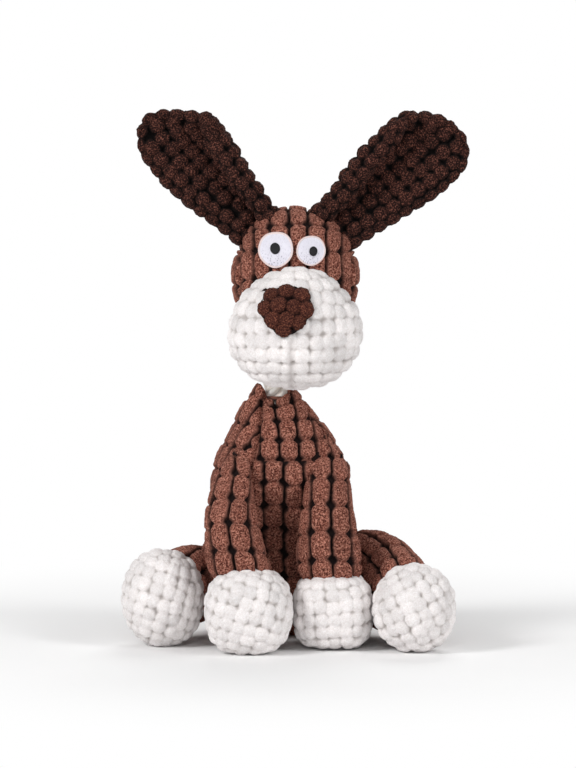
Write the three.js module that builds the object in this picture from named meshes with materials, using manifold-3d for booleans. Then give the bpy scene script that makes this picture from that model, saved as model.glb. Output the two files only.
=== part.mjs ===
// Squeaky dog toy: a seated plush animal with a rope neck, two cupped ears, four floppy legs
// and a squeaker in its belly. Millimetres, +Z up, the toy faces -Y. The origin is the middle
// of the flat seat under the torso, on the floor. Left is the -X side, as seen from the front.

import * as THREE from 'three';
import { mergeVertices } from 'three/addons/utils/BufferGeometryUtils.js';
import Module from 'manifold-3d';

const wasm = await Module();
wasm.setup();

// Fabric and clearances
const gap = 0.3;
const overrun = 2;
const floorCut = 0.5;
const coverWall = 4;
const slack = 0.5;

// Torso
const torsoHeight = 129;
const torsoWidth = 82;
const torsoDepth = 78;
const neckLean = 15;
const neckSide = -2.5;
const torsoRingShares = [
  { up: 0, wide: 0.73, deep: 0.77, lean: 0 },
  { up: 0.035, wide: 0.87, deep: 0.89, lean: 0 },
  { up: 0.1, wide: 0.95, deep: 0.95, lean: 0.03 },
  { up: 0.19, wide: 0.99, deep: 0.99, lean: 0.08 },
  { up: 0.28, wide: 1, deep: 1, lean: 0.14 },
  { up: 0.37, wide: 0.97, deep: 0.98, lean: 0.25 },
  { up: 0.465, wide: 0.93, deep: 0.95, lean: 0.4 },
  { up: 0.56, wide: 0.89, deep: 0.9, lean: 0.55 },
  { up: 0.66, wide: 0.85, deep: 0.85, lean: 0.7 },
  { up: 0.76, wide: 0.755, deep: 0.76, lean: 0.83 },
  { up: 0.85, wide: 0.585, deep: 0.6, lean: 0.93 },
  { up: 0.93, wide: 0.43, deep: 0.45, lean: 0.97 },
  { up: 1, wide: 0.275, deep: 0.29, lean: 1 },
];
const torsoSides = 22;

// Squeaker
const bulbDiameter = 36;
const bulbLength = 28;
const bulbWall = 1;
const bulbHeight = 52;
const bulbForwardShare = 0.5;
const holderDiameter = 8.4;
const holderBore = 6;
const holderLength = 13;
const flangeDiameter = 12;
const flangeThickness = 1.2;
const reedThickness = 0.4;
const soundPassage = 10;
const bulbRingShares = [
  [0, -1], [0.55, -0.97], [0.85, -0.8], [1, -0.35], [1, 0.3], [0.86, 0.72], [0.5, 0.93],
];

// Rope neck
const ropeDiameter = 11.8;
const ropeLength = 22.5;
const ropeTail = 5;
const knotDiameter = 18;
const knotLength = 15;
const knotRise = ropeLength + 1.5 * coverWall;
const knotRingShares = [
  [0.6, 0], [0.93, 0.1], [1, 0.2], [0.84, 0.34], [1, 0.5], [0.84, 0.66], [1, 0.8], [0.93, 0.9], [0.6, 1],
];
const ropeHeelShares = [0, 0.33, 0.67, 1];
const bindingDiameter = 2.2;
const bindingDrop = Math.PI / 6;

// Head and snout
const headWidth = 65;
const headDepth = 60;
const headHeight = 72;
const headSide = 10.3;
const headForward = 2;
const snoutWidth = 68;
const snoutDepth = 57;
const snoutHeight = 62.6;
const snoutForward = 34;
const snoutDrop = 23.7;
const snoutTaperShare = 0.1;

// Nose and eyes
const patchThickness = 3.4;
const noseWidth = 27.4;
const noseHeight = 27;
const noseSide = -5.1;
const noseRise = 11.6;
const noseBiteShare = 0.2;
const feltThickness = 1.6;
const pupilThickness = 0.9;
const leftEyeDiameter = 18.2;
const leftEyeSide = -10.1;
const leftEyeRise = 15.7;
const leftPupilWidth = 5;
const leftPupilHeight = 5.6;
const leftPupilRise = 1.1;
const rightEyeDiameter = 15.2;
const rightEyeSide = 8;
const rightEyeRise = 15.4;
const rightPupilWidth = 4;
const rightPupilHeight = 4.6;
const rightPupilRise = 0.2;
const eyes = [
  {
    name: 'left', side: leftEyeSide, rise: leftEyeRise, diameter: leftEyeDiameter,
    pupilWidth: leftPupilWidth, pupilHeight: leftPupilHeight, pupilRise: leftPupilRise,
  },
  {
    name: 'right', side: rightEyeSide, rise: rightEyeRise, diameter: rightEyeDiameter,
    pupilWidth: rightPupilWidth, pupilHeight: rightPupilHeight, pupilRise: rightPupilRise,
  },
];

// Ears: two pile panels each, cupped forward. Seat and lean are angles from straight up.
const leftEarLength = 77;
const leftEarWidth = 42;
const leftEarSeat = 0.675;
const leftEarLean = 0.75;
const rightEarLength = 78;
const rightEarWidth = 46;
const rightEarSeat = 0.703;
const rightEarLean = 0.84;
const earCup = 8;
const earWall = 3;
const earRoot = 1.8;
const earLipShare = 0.4;
const earCupShare = 0.45;
const earEdgePower = 0.5;
const earSides = 10;
const earWidthShares = [0.66, 0.68, 0.74, 0.85, 0.95, 1, 0.95, 0.82, 0.62, 0.34];
const earStepShares = [0, 0.06, 0.18, 0.33, 0.49, 0.65, 0.8, 0.9, 0.96, 1];
const ears = [
  {
    name: 'left', sign: -1, length: leftEarLength, width: leftEarWidth,
    seat: leftEarSeat, lean: leftEarLean,
  },
  {
    name: 'right', sign: 1, length: rightEarLength, width: rightEarWidth,
    seat: rightEarSeat, lean: rightEarLean,
  },
];

// Front legs: each hangs from a sewn edge on the torso and bows forward to its paw
const sewnEdge = 1.6;
const shoulderHeight = 100;
const shoulderStandOff = 5;
const shoulderSide = 25.5;
const frontLegDepth = 27;
const leftFrontLegWidth = 34;
const leftFrontBowSide = -2.8;
const leftFrontBowForward = 6;
const leftFrontPawWidth = 45;
const leftFrontPawDepth = 44;
const leftFrontPawHeight = 44;
const leftFrontPawSide = -16.2;
const leftFrontPawForward = 67;
const rightFrontLegWidth = 36;
const rightFrontBowForward = 8.5;
const rightFrontPawWidth = 40.4;
const rightFrontPawDepth = 41;
const rightFrontPawHeight = 39.5;
const rightFrontPawSide = 27;
const rightFrontPawForward = 49;
const frontWidthShares = [0.66, 0.71, 0.74, 0.79, 0.86, 0.93, 0.98, 1, 1];
const frontDepthShares = [0, 0.62, 0.84, 0.92, 0.96, 0.99, 1, 1, 1];
const frontLegs = [
  {
    name: 'left_front',
    shoulder: -shoulderSide,
    width: leftFrontLegWidth,
    bow: new THREE.Vector3(leftFrontBowSide, -leftFrontBowForward, 0),
    paw: {
      side: leftFrontPawSide, forward: leftFrontPawForward,
      width: leftFrontPawWidth, depth: leftFrontPawDepth, height: leftFrontPawHeight,
    },
  },
  {
    name: 'right_front',
    shoulder: shoulderSide,
    width: rightFrontLegWidth,
    bow: new THREE.Vector3(0, -rightFrontBowForward, 0),
    paw: {
      side: rightFrontPawSide, forward: rightFrontPawForward,
      width: rightFrontPawWidth, depth: rightFrontPawDepth, height: rightFrontPawHeight,
    },
  },
];

// Hind legs: each is sewn against the side of the torso and reaches forward along the floor
const hipForward = -1;
const hindLegWidth = 37;
const leftHipHeight = 27;
const leftHindLegHeight = 42;
const leftHindBowSide = -3;
const leftHindPawWidth = 43;
const leftHindPawDepth = 42;
const leftHindPawHeight = 50;
const leftHindPawSide = -60;
const leftHindPawForward = 39;
const rightHipHeight = 32.5;
const rightHindLegHeight = 51;
const rightHindBowSide = 5.5;
const rightHindPawWidth = 42.6;
const rightHindPawDepth = 42;
const rightHindPawHeight = 45;
const rightHindPawSide = 68;
const rightHindPawForward = 61;
const hindWidthShares = [0.2, 0.72, 0.92, 1, 0.97, 0.93, 0.9, 0.88, 0.88];
const hindHeightShares = [0.25, 0.76, 0.94, 1, 0.97, 0.92, 0.87, 0.84, 0.82];
const hindHeelShare = 0.34;
const hindLegs = [
  {
    name: 'left_hind',
    sign: -1,
    hipHeight: leftHipHeight,
    height: leftHindLegHeight,
    bowSide: leftHindBowSide,
    paw: {
      side: leftHindPawSide, forward: leftHindPawForward,
      width: leftHindPawWidth, depth: leftHindPawDepth, height: leftHindPawHeight,
    },
  },
  {
    name: 'right_hind',
    sign: 1,
    hipHeight: rightHipHeight,
    height: rightHindLegHeight,
    bowSide: rightHindBowSide,
    paw: {
      side: rightHindPawSide, forward: rightHindPawForward,
      width: rightHindPawWidth, depth: rightHindPawDepth, height: rightHindPawHeight,
    },
  },
];
const limbCoreShare = 0.15;
const limbSides = 12;
const limbSteps = 7;
const pawSides = { sides: 14, steps: 8, core: 10 };
const headSides = { sides: 18, steps: 9, core: 12 };
const coreSides = 10;
const torsoCoreSides = 14;
const turnedSides = 12;
const patchSides = 20;

// Closing stitch down the back seam
const threadDiameter = 0.9;
const stitchFrom = 34;
const stitchTo = 88;
const stitchReach = 2.6;
const stitchCount = 9;
const threadStepsPerStitch = 3;
const threadSides = 6;

// Colours
const brownPile = { color: 0x8c5545, roughness: 0.95 };
const darkPile = { color: 0x3c1e1c, roughness: 0.95 };
const whitePile = { color: 0xf0ecec, roughness: 0.95 };
const nosePile = { color: 0x4b2820, roughness: 0.95 };
const stuffing = { color: 0xf4f4f0, roughness: 1 };
const whiteFelt = { color: 0xf2f0f4, roughness: 0.9 };
const blackThread = { color: 0x101014, roughness: 0.6 };
const cottonRope = { color: 0xeee6d8, roughness: 0.9 };
const brownThread = { color: 0x6b3d30, roughness: 0.7 };
const whitePlastic = { color: 0xf5f5f5, roughness: 0.45 };
const filmPlastic = { color: 0xd8e4ee, roughness: 0.3 };

// Places that follow from the sizes
const neckPivot = new THREE.Vector3(neckSide, -neckLean, torsoHeight);
const ropeRadius = ropeDiameter / 2;
const bindingReach = ropeRadius + gap + bindingDiameter / 2;
const mouthRadius = bindingReach + bindingDiameter / 2 + gap;
const headCentre = neckPivot.clone().add(
  new THREE.Vector3(headSide, -headForward, ropeLength + headHeight / 2),
);
const snoutCentre = headCentre.clone().add(new THREE.Vector3(0, -snoutForward, -snoutDrop));
const bulbForward = (neckLean * bulbForwardShare * bulbHeight) / torsoHeight;
const bulbCentre = new THREE.Vector3(0, -bulbForward, bulbHeight);

// Turns a closed geometry into a solid: shared corners merged, slivers at poles dropped
function solidOf(geometry) {
  geometry.deleteAttribute('normal');
  geometry.deleteAttribute('uv');
  const merged = mergeVertices(geometry);
  const position = merged.getAttribute('position');
  const corner = (i) => new THREE.Vector3().fromBufferAttribute(position, i);
  const index = merged.getIndex().array;
  const triangles = [];
  let volume = 0;
  for (let i = 0; i < index.length; i += 3) {
    const [a, b, c] = index.slice(i, i + 3);
    if (a === b || b === c || c === a) continue;
    triangles.push(a, b, c);
    volume += corner(a).dot(corner(b).cross(corner(c)));
  }
  const triVerts = new Uint32Array(volume < 0 ? triangles.reverse() : triangles);
  const vertProperties = new Float32Array(position.array);
  return new wasm.Manifold(new wasm.Mesh({ numProp: 3, vertProperties, triVerts }));
}

function geometryOf(solid) {
  const { numProp, vertProperties, triVerts } = solid.getMesh();
  const geometry = new THREE.BufferGeometry();
  geometry.setAttribute('position', new THREE.BufferAttribute(new Float32Array(vertProperties), numProp));
  geometry.setIndex(new THREE.BufferAttribute(new Uint32Array(triVerts), 1));
  return geometry;
}

// Closed surface through rings of points, with a fan of triangles over each end ring
function loft(rings) {
  const sides = rings[0].length;
  const points = rings.flat();
  const index = [];
  for (let a = 0; a < sides * (rings.length - 1); a += 1) {
    const b = (a + 1) % sides ? a + 1 : a + 1 - sides;
    index.push(a, b, a + sides, b, b + sides, a + sides);
  }
  for (const row of [0, rings.length - 1]) {
    const middle = new THREE.Vector3();
    rings[row].forEach((point) => middle.addScaledVector(point, 1 / sides));
    points.push(middle);
    for (let side = 0; side < sides; side += 1) {
      const pair = [row * sides + side, row * sides + ((side + 1) % sides)];
      index.push(...(row ? pair : pair.reverse()), points.length - 1);
    }
  }
  const geometry = new THREE.BufferGeometry().setFromPoints(points);
  geometry.setIndex(index);
  return solidOf(geometry);
}

function ellipse(centre, across, through, sides) {
  return Array.from({ length: sides }, (_, i) => {
    const angle = (2 * Math.PI * i) / sides;
    return centre.clone()
      .addScaledVector(across, Math.cos(angle))
      .addScaledVector(through, Math.sin(angle));
  });
}

// Smooth reading of evenly spaced shares, at a place from 0 to 1
function spread(shares, place) {
  const last = shares.length - 1;
  const from = Math.min(Math.floor(place * last), last - 1);
  const part = place * last - from;
  const [a, b, c, d] = [-1, 0, 1, 2].map((i) => shares[Math.min(Math.max(from + i, 0), last)]);
  const bend = (2 * a - 5 * b + 4 * c - d) * part ** 2 + (3 * b - a - 3 * c + d) * part ** 3;
  return b + ((c - a) * part + bend) / 2;
}

function block(from, to) {
  const size = to.clone().sub(from);
  const middle = from.clone().add(to).divideScalar(2);
  const geometry = new THREE.BoxGeometry(size.x, size.y, size.z);
  return solidOf(geometry.translate(middle.x, middle.y, middle.z));
}

// Turned piece: a profile of [radius, height] points about +Z through its centre, or laid over
function turned(profile, sides, centre, over = new THREE.Quaternion()) {
  const geometry = new THREE.LatheGeometry(profile.map(([r, h]) => new THREE.Vector2(r, h)), sides);
  geometry.rotateX(Math.PI / 2).applyQuaternion(over);
  return solidOf(geometry.translate(centre.x, centre.y, centre.z));
}

function cylinder(radius, from, to, sides) {
  const geometry = new THREE.CylinderGeometry(radius, radius, from.distanceTo(to), sides);
  const along = to.clone().sub(from).normalize();
  geometry.applyQuaternion(new THREE.Quaternion().setFromUnitVectors(THREE.Object3D.DEFAULT_UP, along));
  const middle = from.clone().add(to).divideScalar(2);
  return solidOf(geometry.translate(middle.x, middle.y, middle.z));
}

// Stuffed ball, fuller below by its taper, drawn in all round by an inset
function ball({ centre, width, depth, height, taper = 0, skin = pawSides }, inset = 0) {
  const { steps } = skin;
  const sides = inset > 0 ? skin.core : skin.sides;
  const rings = Array.from({ length: steps + 1 }, (_, i) => {
    const angle = (Math.PI * i) / steps;
    const rise = -Math.cos(angle);
    const girth = Math.sin(angle) * (1 - taper * rise);
    return ellipse(
      centre.clone().add(new THREE.Vector3(0, 0, rise * (height / 2 - inset))),
      new THREE.Vector3(girth * (width / 2 - inset), 0, 0),
      new THREE.Vector3(0, girth * (depth / 2 - inset), 0),
      sides,
    );
  });
  return loft(rings);
}

// Cuts a soft form flat where it rests on the floor
function aboveFloor(solid) {
  const reach = torsoWidth + torsoDepth;
  return solid.subtract(block(
    new THREE.Vector3(-reach, -reach, -reach),
    new THREE.Vector3(reach, reach, 0),
  ));
}

// Torso: stacked ellipses that lean forward to the neck
function torsoRing(share, inset) {
  const height = -floorCut + share.up * (torsoHeight + floorCut);
  return {
    height: Math.min(Math.max(height, -floorCut + inset), torsoHeight + (inset > 0 ? overrun : 0)),
    halfWidth: (share.wide * torsoWidth) / 2 - inset,
    halfDepth: (share.deep * torsoDepth) / 2 - inset,
    middle: -share.lean * neckLean,
    side: share.lean * neckSide,
  };
}

function torsoForm(inset = 0) {
  const sides = inset > 0 ? torsoCoreSides : torsoSides;
  const rings = torsoRingShares.map((share) => torsoRing(share, inset)).map((ring) => ellipse(
    new THREE.Vector3(ring.side, ring.middle, ring.height),
    new THREE.Vector3(ring.halfWidth, 0, 0),
    new THREE.Vector3(0, ring.halfDepth, 0),
    sides,
  ));
  return loft(rings);
}

// Torso surface on its front or back at a height and side: sign -1 is the front
function torsoFace(side, height, sign) {
  const rings = torsoRingShares.map((share) => torsoRing(share, 0));
  const over = Math.max(rings.findIndex((ring) => ring.height >= height), 1);
  const [low, high] = [rings[over - 1], rings[over]];
  const part = (height - low.height) / (high.height - low.height);
  const at = (key) => low[key] + (high[key] - low[key]) * part;
  const off = (side - at('side')) / at('halfWidth');
  return at('middle') + sign * at('halfDepth') * Math.sqrt(Math.max(1 - off ** 2, 0));
}

const along = (from, to, place) => from.clone().lerp(to, place);
const offset = (from, x, y, z) => from.clone().add(new THREE.Vector3(x, y, z));

// Stuffed limb: ellipses along a bowed line from its root to the middle of its paw
function limb(leg, inset = 0) {
  const direction = leg.to.clone().sub(leg.from).normalize();
  const across = new THREE.Vector3(1, 0, 0);
  const through = direction.clone().cross(across).normalize();
  const start = Math.max(inset, 0) / leg.from.distanceTo(leg.to);
  const half = (full) => Math.max(full / 2 - inset, (full / 2) * leg.coreShare);
  const rings = Array.from({ length: limbSteps + 1 }, (_, i) => {
    const place = start + ((1 - start) * i) / limbSteps;
    const middle = along(leg.from, leg.to, place).addScaledVector(leg.bow, Math.sin(Math.PI * place));
    const width = leg.width * spread(leg.widthShares, place);
    const depth = leg.edge + (leg.depth - leg.edge) * spread(leg.depthShares, place);
    return ellipse(
      middle,
      across.clone().multiplyScalar(half(width)),
      through.clone().multiplyScalar(half(depth)),
      inset > 0 ? coreSides : limbSides,
    );
  });
  return loft(rings);
}

function pawBall(paw) {
  const { width, depth, height } = paw;
  return { centre: new THREE.Vector3(paw.side, -paw.forward, height / 2 - floorCut), width, depth, height };
}

// The four sewn pieces of a leg. Each keeps clear of what its root or its paw leans on.
function legPieces(leg, paw, besideLeg, besidePaw = () => null) {
  const leave = (solid, other) => (other ? solid.subtract(other) : solid);
  const core = leave(limb(leg, coverWall), besideLeg(gap + coverWall));
  const pawCore = leave(ball(paw, coverWall), besidePaw(gap + coverWall));
  const stuffed = leave(limb(leg, coverWall + gap), besideLeg(2 * gap + coverWall));
  return {
    leg_cover: leave(limb(leg), besideLeg(gap)).subtract(ball(paw, -gap)).subtract(core),
    leg_fill: stuffed.subtract(ball(paw, coverWall)),
    paw_cover: aboveFloor(leave(ball(paw), besidePaw(gap))).subtract(pawCore).subtract(core),
    paw_fill: leave(ball(paw, coverWall + gap), besidePaw(2 * gap + coverWall)),
  };
}

function frontLeg(shape) {
  const root = new THREE.Vector3(shape.shoulder, 0, shoulderHeight);
  root.y = torsoFace(root.x, root.z, -1) - shoulderStandOff;
  const paw = pawBall(shape.paw);
  const leg = {
    from: root,
    to: paw.centre,
    bow: shape.bow,
    width: shape.width,
    depth: frontLegDepth,
    edge: sewnEdge,
    widthShares: frontWidthShares,
    depthShares: frontDepthShares,
    coreShare: limbCoreShare,
  };
  const besidePaw = (clearance) => torsoForm(-clearance);
  const besideLeg = (clearance) => besidePaw(clearance + slack);
  return { pivot: root, pieces: legPieces(leg, paw, besideLeg, besidePaw) };
}

function hindLeg(shape) {
  const side = shape.sign * (torsoWidth / 2 + slack);
  const hip = new THREE.Vector3(side, -hipForward, shape.hipHeight);
  const paw = pawBall(shape.paw);
  const back = hip.clone().sub(paw.centre).setLength(shape.height * hindHeelShare);
  const leg = {
    from: hip.clone().add(back),
    to: paw.centre,
    bow: new THREE.Vector3(shape.bowSide, 0, 0),
    width: hindLegWidth,
    depth: shape.height,
    edge: 0,
    widthShares: hindWidthShares,
    depthShares: hindHeightShares,
    coreShare: limbCoreShare,
  };
  const reach = torsoWidth + torsoDepth;
  const hipSlab = (clearance) => {
    const face = side + shape.sign * (clearance - gap);
    const far = face - shape.sign * reach;
    return block(
      new THREE.Vector3(Math.min(face, far), -reach, -reach),
      new THREE.Vector3(Math.max(face, far), reach, reach),
    );
  };
  return { pivot: hip, pieces: legPieces(leg, paw, hipSlab) };
}

// Ear panel: flattened rings along the ear, cupped toward the front. Layer 1 is the front one.
function earPanel(ear, root, layer) {
  const up = new THREE.Vector3(ear.sign * Math.sin(ear.lean), 0, Math.cos(ear.lean));
  const front = new THREE.Vector3(0, -1, 0);
  const across = up.clone().cross(front);
  const steps = [-earRoot / ear.length, ...earStepShares];
  const rings = steps.map((step, i) => {
    const wideShare = earWidthShares[Math.max(i - 1, 0)];
    const half = (ear.width / 2) * wideShare;
    const cup = earCup * Math.min(Math.max(step, 0) / earCupShare, 1) * wideShare ** 2;
    const swell = earRoot + (earWall - earRoot) * (step / earStepShares[2]);
    const thick = i ? Math.min(swell, earWall) : earRoot * earLipShare;
    return Array.from({ length: earSides }, (_, k) => {
      const angle = (layer * 2 * Math.PI * k) / earSides;
      const wide = Math.cos(angle);
      const lift = Math.sign(Math.sin(angle)) * Math.abs(Math.sin(angle)) ** earEdgePower;
      const deep = cup * wide ** 2 + layer * (gap + thick) / 2 + (thick / 2) * lift;
      return root.clone()
        .addScaledVector(up, ear.length * step)
        .addScaledVector(across, half * wide)
        .addScaledVector(front, deep);
    });
  });
  return loft(rings);
}

function earRootPoint(ear) {
  const outward = new THREE.Vector3(ear.sign * Math.sin(ear.seat), 0, Math.cos(ear.seat));
  const reach = Math.hypot(outward.x / (headWidth / 2), outward.z / (headHeight / 2));
  return headCentre.clone().addScaledVector(outward, 1 / reach + earRoot + gap + gap / 2);
}

// Stopper knot in the rope, as three drawn-up turns: [radius, height] from its lower end
const knotTurns = knotRingShares.map(([wide, up]) => [(wide * knotDiameter) / 2, up * knotLength]);

function torsoPieces() {
  const mouth = ball({
    centre: neckPivot, width: 2 * mouthRadius, depth: 2 * mouthRadius, height: 2 * mouthRadius,
  });
  const knotTop = offset(neckPivot, 0, 0, -mouthRadius - gap);
  const knotFoot = offset(knotTop, 0, 0, -knotLength);
  const knotPocket = cylinder(
    knotDiameter / 2 + gap,
    offset(knotFoot, 0, 0, -gap),
    offset(knotTop, 0, 0, 2 * gap),
    turnedSides,
  );
  const inside = (inset) => torsoForm(inset).add(cylinder(
    (torsoWidth / 2) * torsoRingShares.at(-1).wide - inset,
    knotTop,
    offset(neckPivot, 0, 0, overrun),
    torsoSides,
  ));
  const bulb = bulbPieces();
  return {
    torso_cover: aboveFloor(torsoForm()).subtract(inside(coverWall)).subtract(mouth),
    torso_fill: torsoForm(coverWall + gap).subtract(mouth).subtract(knotPocket).subtract(bulb.pocket),
    rope_lower_knot: turned([[0, 0], ...knotTurns, [0, knotLength]], turnedSides, knotFoot),
    ...bulb.pieces,
    back_closing_stitch: closingStitch(),
  };
}

// Squeaker: a blown bulb that points back, with its reed in a flanged holder
function bulbPieces() {
  const flat = new THREE.Quaternion().setFromUnitVectors(
    new THREE.Vector3(0, 0, 1),
    new THREE.Vector3(0, 1, 0),
  );
  const facingBack = (profile, sides = turnedSides) => turned(profile, sides, bulbCentre, flat);
  const half = bulbLength / 2;
  const neck = holderDiameter / 2 + gap;
  const skin = (inset) => bulbRingShares.map(([wide, far]) => [
    wide * (bulbDiameter / 2 - inset),
    far * (half - inset),
  ]);
  const outside = [...skin(0), [neck, half]];
  const inside = [...skin(bulbWall), [neck, half - bulbWall]].reverse();
  const [tube, bore] = [holderDiameter / 2, holderBore / 2];
  const [flangeFront, flangeBack] = [half + gap, half + gap + flangeThickness];
  const tubeFront = flangeBack - holderLength;
  const reedEnd = flangeBack - flangeThickness;
  const at = (x, y, z) => offset(bulbCentre, x, y, z);
  const seat = bore - gap;
  const passage = [[0, 0], [flangeDiameter / 2 + gap, 0], [flangeDiameter / 2 + gap, flangeBack + gap]];
  const soundWay = [[soundPassage / 2, flangeBack + gap], [soundPassage / 2, torsoDepth]];
  return {
    pocket: facingBack([...skin(-gap), [0, half + gap]]).add(
      facingBack([...passage, ...soundWay, [0, torsoDepth]]),
    ),
    pieces: {
      squeaker_bulb: facingBack([...outside, ...inside]),
      squeaker_reed_holder: facingBack([
        [bore, tubeFront], [tube, tubeFront], [tube, flangeFront], [flangeDiameter / 2, flangeFront],
        [flangeDiameter / 2, flangeBack], [bore, flangeBack], [bore, tubeFront],
      ]),
      squeaker_reed: block(at(-seat, tubeFront, 0), at(seat, reedEnd, reedThickness)).intersect(
        cylinder(seat, at(0, tubeFront, 0), at(0, reedEnd, 0), turnedSides),
      ),
      squeaker_reed_wedge: cylinder(seat, at(0, tubeFront + seat, 0), at(0, reedEnd, 0), turnedSides)
        .subtract(block(at(-bore, tubeFront, -gap), at(bore, flangeBack, bore))),
    },
  };
}

// Ladder stitch that closes the back seam: one thread, laid on the cover
function closingStitch() {
  const points = Array.from({ length: stitchCount + 1 }, (_, i) => {
    const height = stitchFrom + ((stitchTo - stitchFrom) * i) / stitchCount;
    const side = i % 2 ? stitchReach : -stitchReach;
    return new THREE.Vector3(side, torsoFace(side, height, 1) + gap + threadDiameter, height);
  });
  const round = new THREE.Shape().absarc(0, 0, threadDiameter / 2, 0, 2 * Math.PI);
  return solidOf(new THREE.ExtrudeGeometry(round, {
    steps: stitchCount * threadStepsPerStitch,
    curveSegments: threadSides / 2,
    extrudePath: new THREE.CatmullRomCurve3(points),
  }));
}

function neckPieces() {
  const ring = ellipse(
    new THREE.Vector3(bindingReach * Math.cos(bindingDrop), -bindingReach * Math.sin(bindingDrop), 0),
    new THREE.Vector3(bindingDiameter / 2, 0, 0),
    new THREE.Vector3(0, bindingDiameter / 2, 0),
    threadSides,
  ).map((point) => [point.x, point.y]);
  const heel = ropeHeelShares.map((angleShare) => [
    ropeRadius * Math.sin(angleShare * (Math.PI / 2)),
    -ropeRadius * Math.cos(angleShare * (Math.PI / 2)),
  ]);
  const turns = knotTurns.map(([radius, height]) => [radius, knotRise + height]);
  const top = knotRise + knotLength + ropeTail;
  const tail = [[ropeRadius, knotRise + knotLength], [ropeRadius, top], [0, top]];
  const rope = [...heel, [ropeRadius, knotRise], ...turns, ...tail];
  return {
    neck_binding: turned([...ring, ring[0]], turnedSides, neckPivot),
    neck_rope: turned(rope, turnedSides, neckPivot),
  };
}

function headPieces() {
  const skull = { centre: headCentre, width: headWidth, depth: headDepth, height: headHeight };
  const snout = { centre: snoutCentre, width: snoutWidth, depth: snoutDepth, height: snoutHeight };
  const head = (inset) => ball({ ...skull, skin: headSides }, inset);
  const muzzle = (inset) => ball({ ...snout, taper: snoutTaperShare, skin: headSides }, inset);
  const bore = [
    [0, 0], [ropeRadius + gap, 0], [ropeRadius + gap, knotRise - gap],
    [knotDiameter / 2 + gap, knotRise - gap], [knotDiameter / 2 + gap, knotRise + knotLength + gap],
    [ropeRadius + gap, knotRise + knotLength + gap],
    [ropeRadius + gap, knotRise + knotLength + ropeTail + gap],
    [0, knotRise + knotLength + ropeTail + gap],
  ];
  const ropeWay = turned(bore, turnedSides, neckPivot);
  const prism = (middle, halfWidth, halfHeight, bite) => {
    const outline = Array.from({ length: patchSides }, (_, i) => {
      const angle = (2 * Math.PI * i) / patchSides;
      const pinch = 1 + bite * Math.sin(angle);
      return new THREE.Vector3(halfWidth * Math.cos(angle) * pinch, 0, halfHeight * Math.sin(angle));
    });
    const back = outline.map((point) => point.clone().add(middle));
    return loft([back, back.map((point) => offset(point, 0, -headDepth - snoutDepth, 0))]);
  };
  const pieces = {
    head_cover: head(0).subtract(head(coverWall)).subtract(ropeWay),
    head_fill: head(coverWall + gap).subtract(ropeWay),
    snout_cover: muzzle(0).subtract(head(-gap)).subtract(muzzle(coverWall)),
    snout_fill: muzzle(coverWall + gap).subtract(head(-gap)),
    nose_patch: prism(
      offset(snoutCentre, noseSide, 0, noseRise), noseWidth / 2, noseHeight / 2, noseBiteShare,
    ).intersect(muzzle(-gap - patchThickness)).subtract(muzzle(-gap)),
  };
  for (const eye of eyes) {
    const middle = offset(headCentre, eye.side, 0, eye.rise);
    const pupilMiddle = offset(middle, 0, 0, eye.pupilRise);
    const felt = gap + feltThickness;
    pieces[`${eye.name}_eye_disc`] = prism(middle, eye.diameter / 2, eye.diameter / 2, 0)
      .intersect(head(-felt)).subtract(head(-gap)).subtract(muzzle(-gap));
    pieces[`${eye.name}_pupil`] = prism(pupilMiddle, eye.pupilWidth / 2, eye.pupilHeight / 2, 0)
      .intersect(head(-felt - gap - pupilThickness)).subtract(head(-felt - gap));
  }
  return pieces;
}

// Each moving group has its origin on its own pivot, and its meshes are kept relative to it
function groupAt(pivot, parent, parentPivot) {
  const group = new THREE.Group();
  group.position.copy(pivot).sub(parentPivot);
  parent.add(group);
  return group;
}

function addMeshes(group, pivot, pieces, looks) {
  for (const [name, solid] of Object.entries(pieces)) {
    const geometry = geometryOf(solid).translate(-pivot.x, -pivot.y, -pivot.z);
    const mesh = new THREE.Mesh(geometry, new THREE.MeshStandardMaterial(looks(name)));
    mesh.name = name;
    group.add(mesh);
  }
}

function lookOf(name) {
  if (name.endsWith('_fill')) return stuffing;
  if (name.endsWith('paw_cover') || name === 'snout_cover') return whitePile;
  if (name.includes('_ear_')) return darkPile;
  if (name.includes('pupil')) return blackThread;
  if (name.includes('eye_disc')) return whiteFelt;
  if (name.includes('rope')) return cottonRope;
  if (name.includes('stitch') || name === 'neck_binding') return brownThread;
  if (name === 'squeaker_reed') return filmPlastic;
  if (name.startsWith('squeaker')) return whitePlastic;
  return name === 'nose_patch' ? nosePile : brownPile;
}

const toy = new THREE.Group();
const origin = new THREE.Vector3();
addMeshes(toy, origin, torsoPieces(), lookOf);

const neck = groupAt(neckPivot, toy, origin);
addMeshes(neck, neckPivot, neckPieces(), lookOf);
const head = groupAt(neckPivot, toy, origin);
addMeshes(head, neckPivot, headPieces(), lookOf);

for (const ear of ears) {
  const root = earRootPoint(ear);
  addMeshes(groupAt(root, head, neckPivot), root, {
    [`${ear.name}_ear_front`]: earPanel(ear, root, 1),
    [`${ear.name}_ear_back`]: earPanel(ear, root, -1),
  }, lookOf);
}

for (const { name, pivot, pieces } of [
  ...frontLegs.map((shape) => ({ name: shape.name, ...frontLeg(shape) })),
  ...hindLegs.map((shape) => ({ name: shape.name, ...hindLeg(shape) })),
]) {
  const named = Object.fromEntries(Object.entries(pieces).map(([key, solid]) => [`${name}_${key}`, solid]));
  addMeshes(groupAt(pivot, toy, origin), pivot, named, lookOf);
}

export default toy;
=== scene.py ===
"""Looks of the squeaky dog toy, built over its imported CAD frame.

Every stuffed piece is a closed skin of rings, worked out with numpy in millimetres and put into
its mesh in metres. A pile stands on each skin: long cut blocks on the brown fabric, round
bubbles on the white and the dark fabrics. The toy faces -Y, and left is the -X side.
"""

from __future__ import annotations

import logging
import math
from dataclasses import dataclass
from enum import Enum

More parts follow.
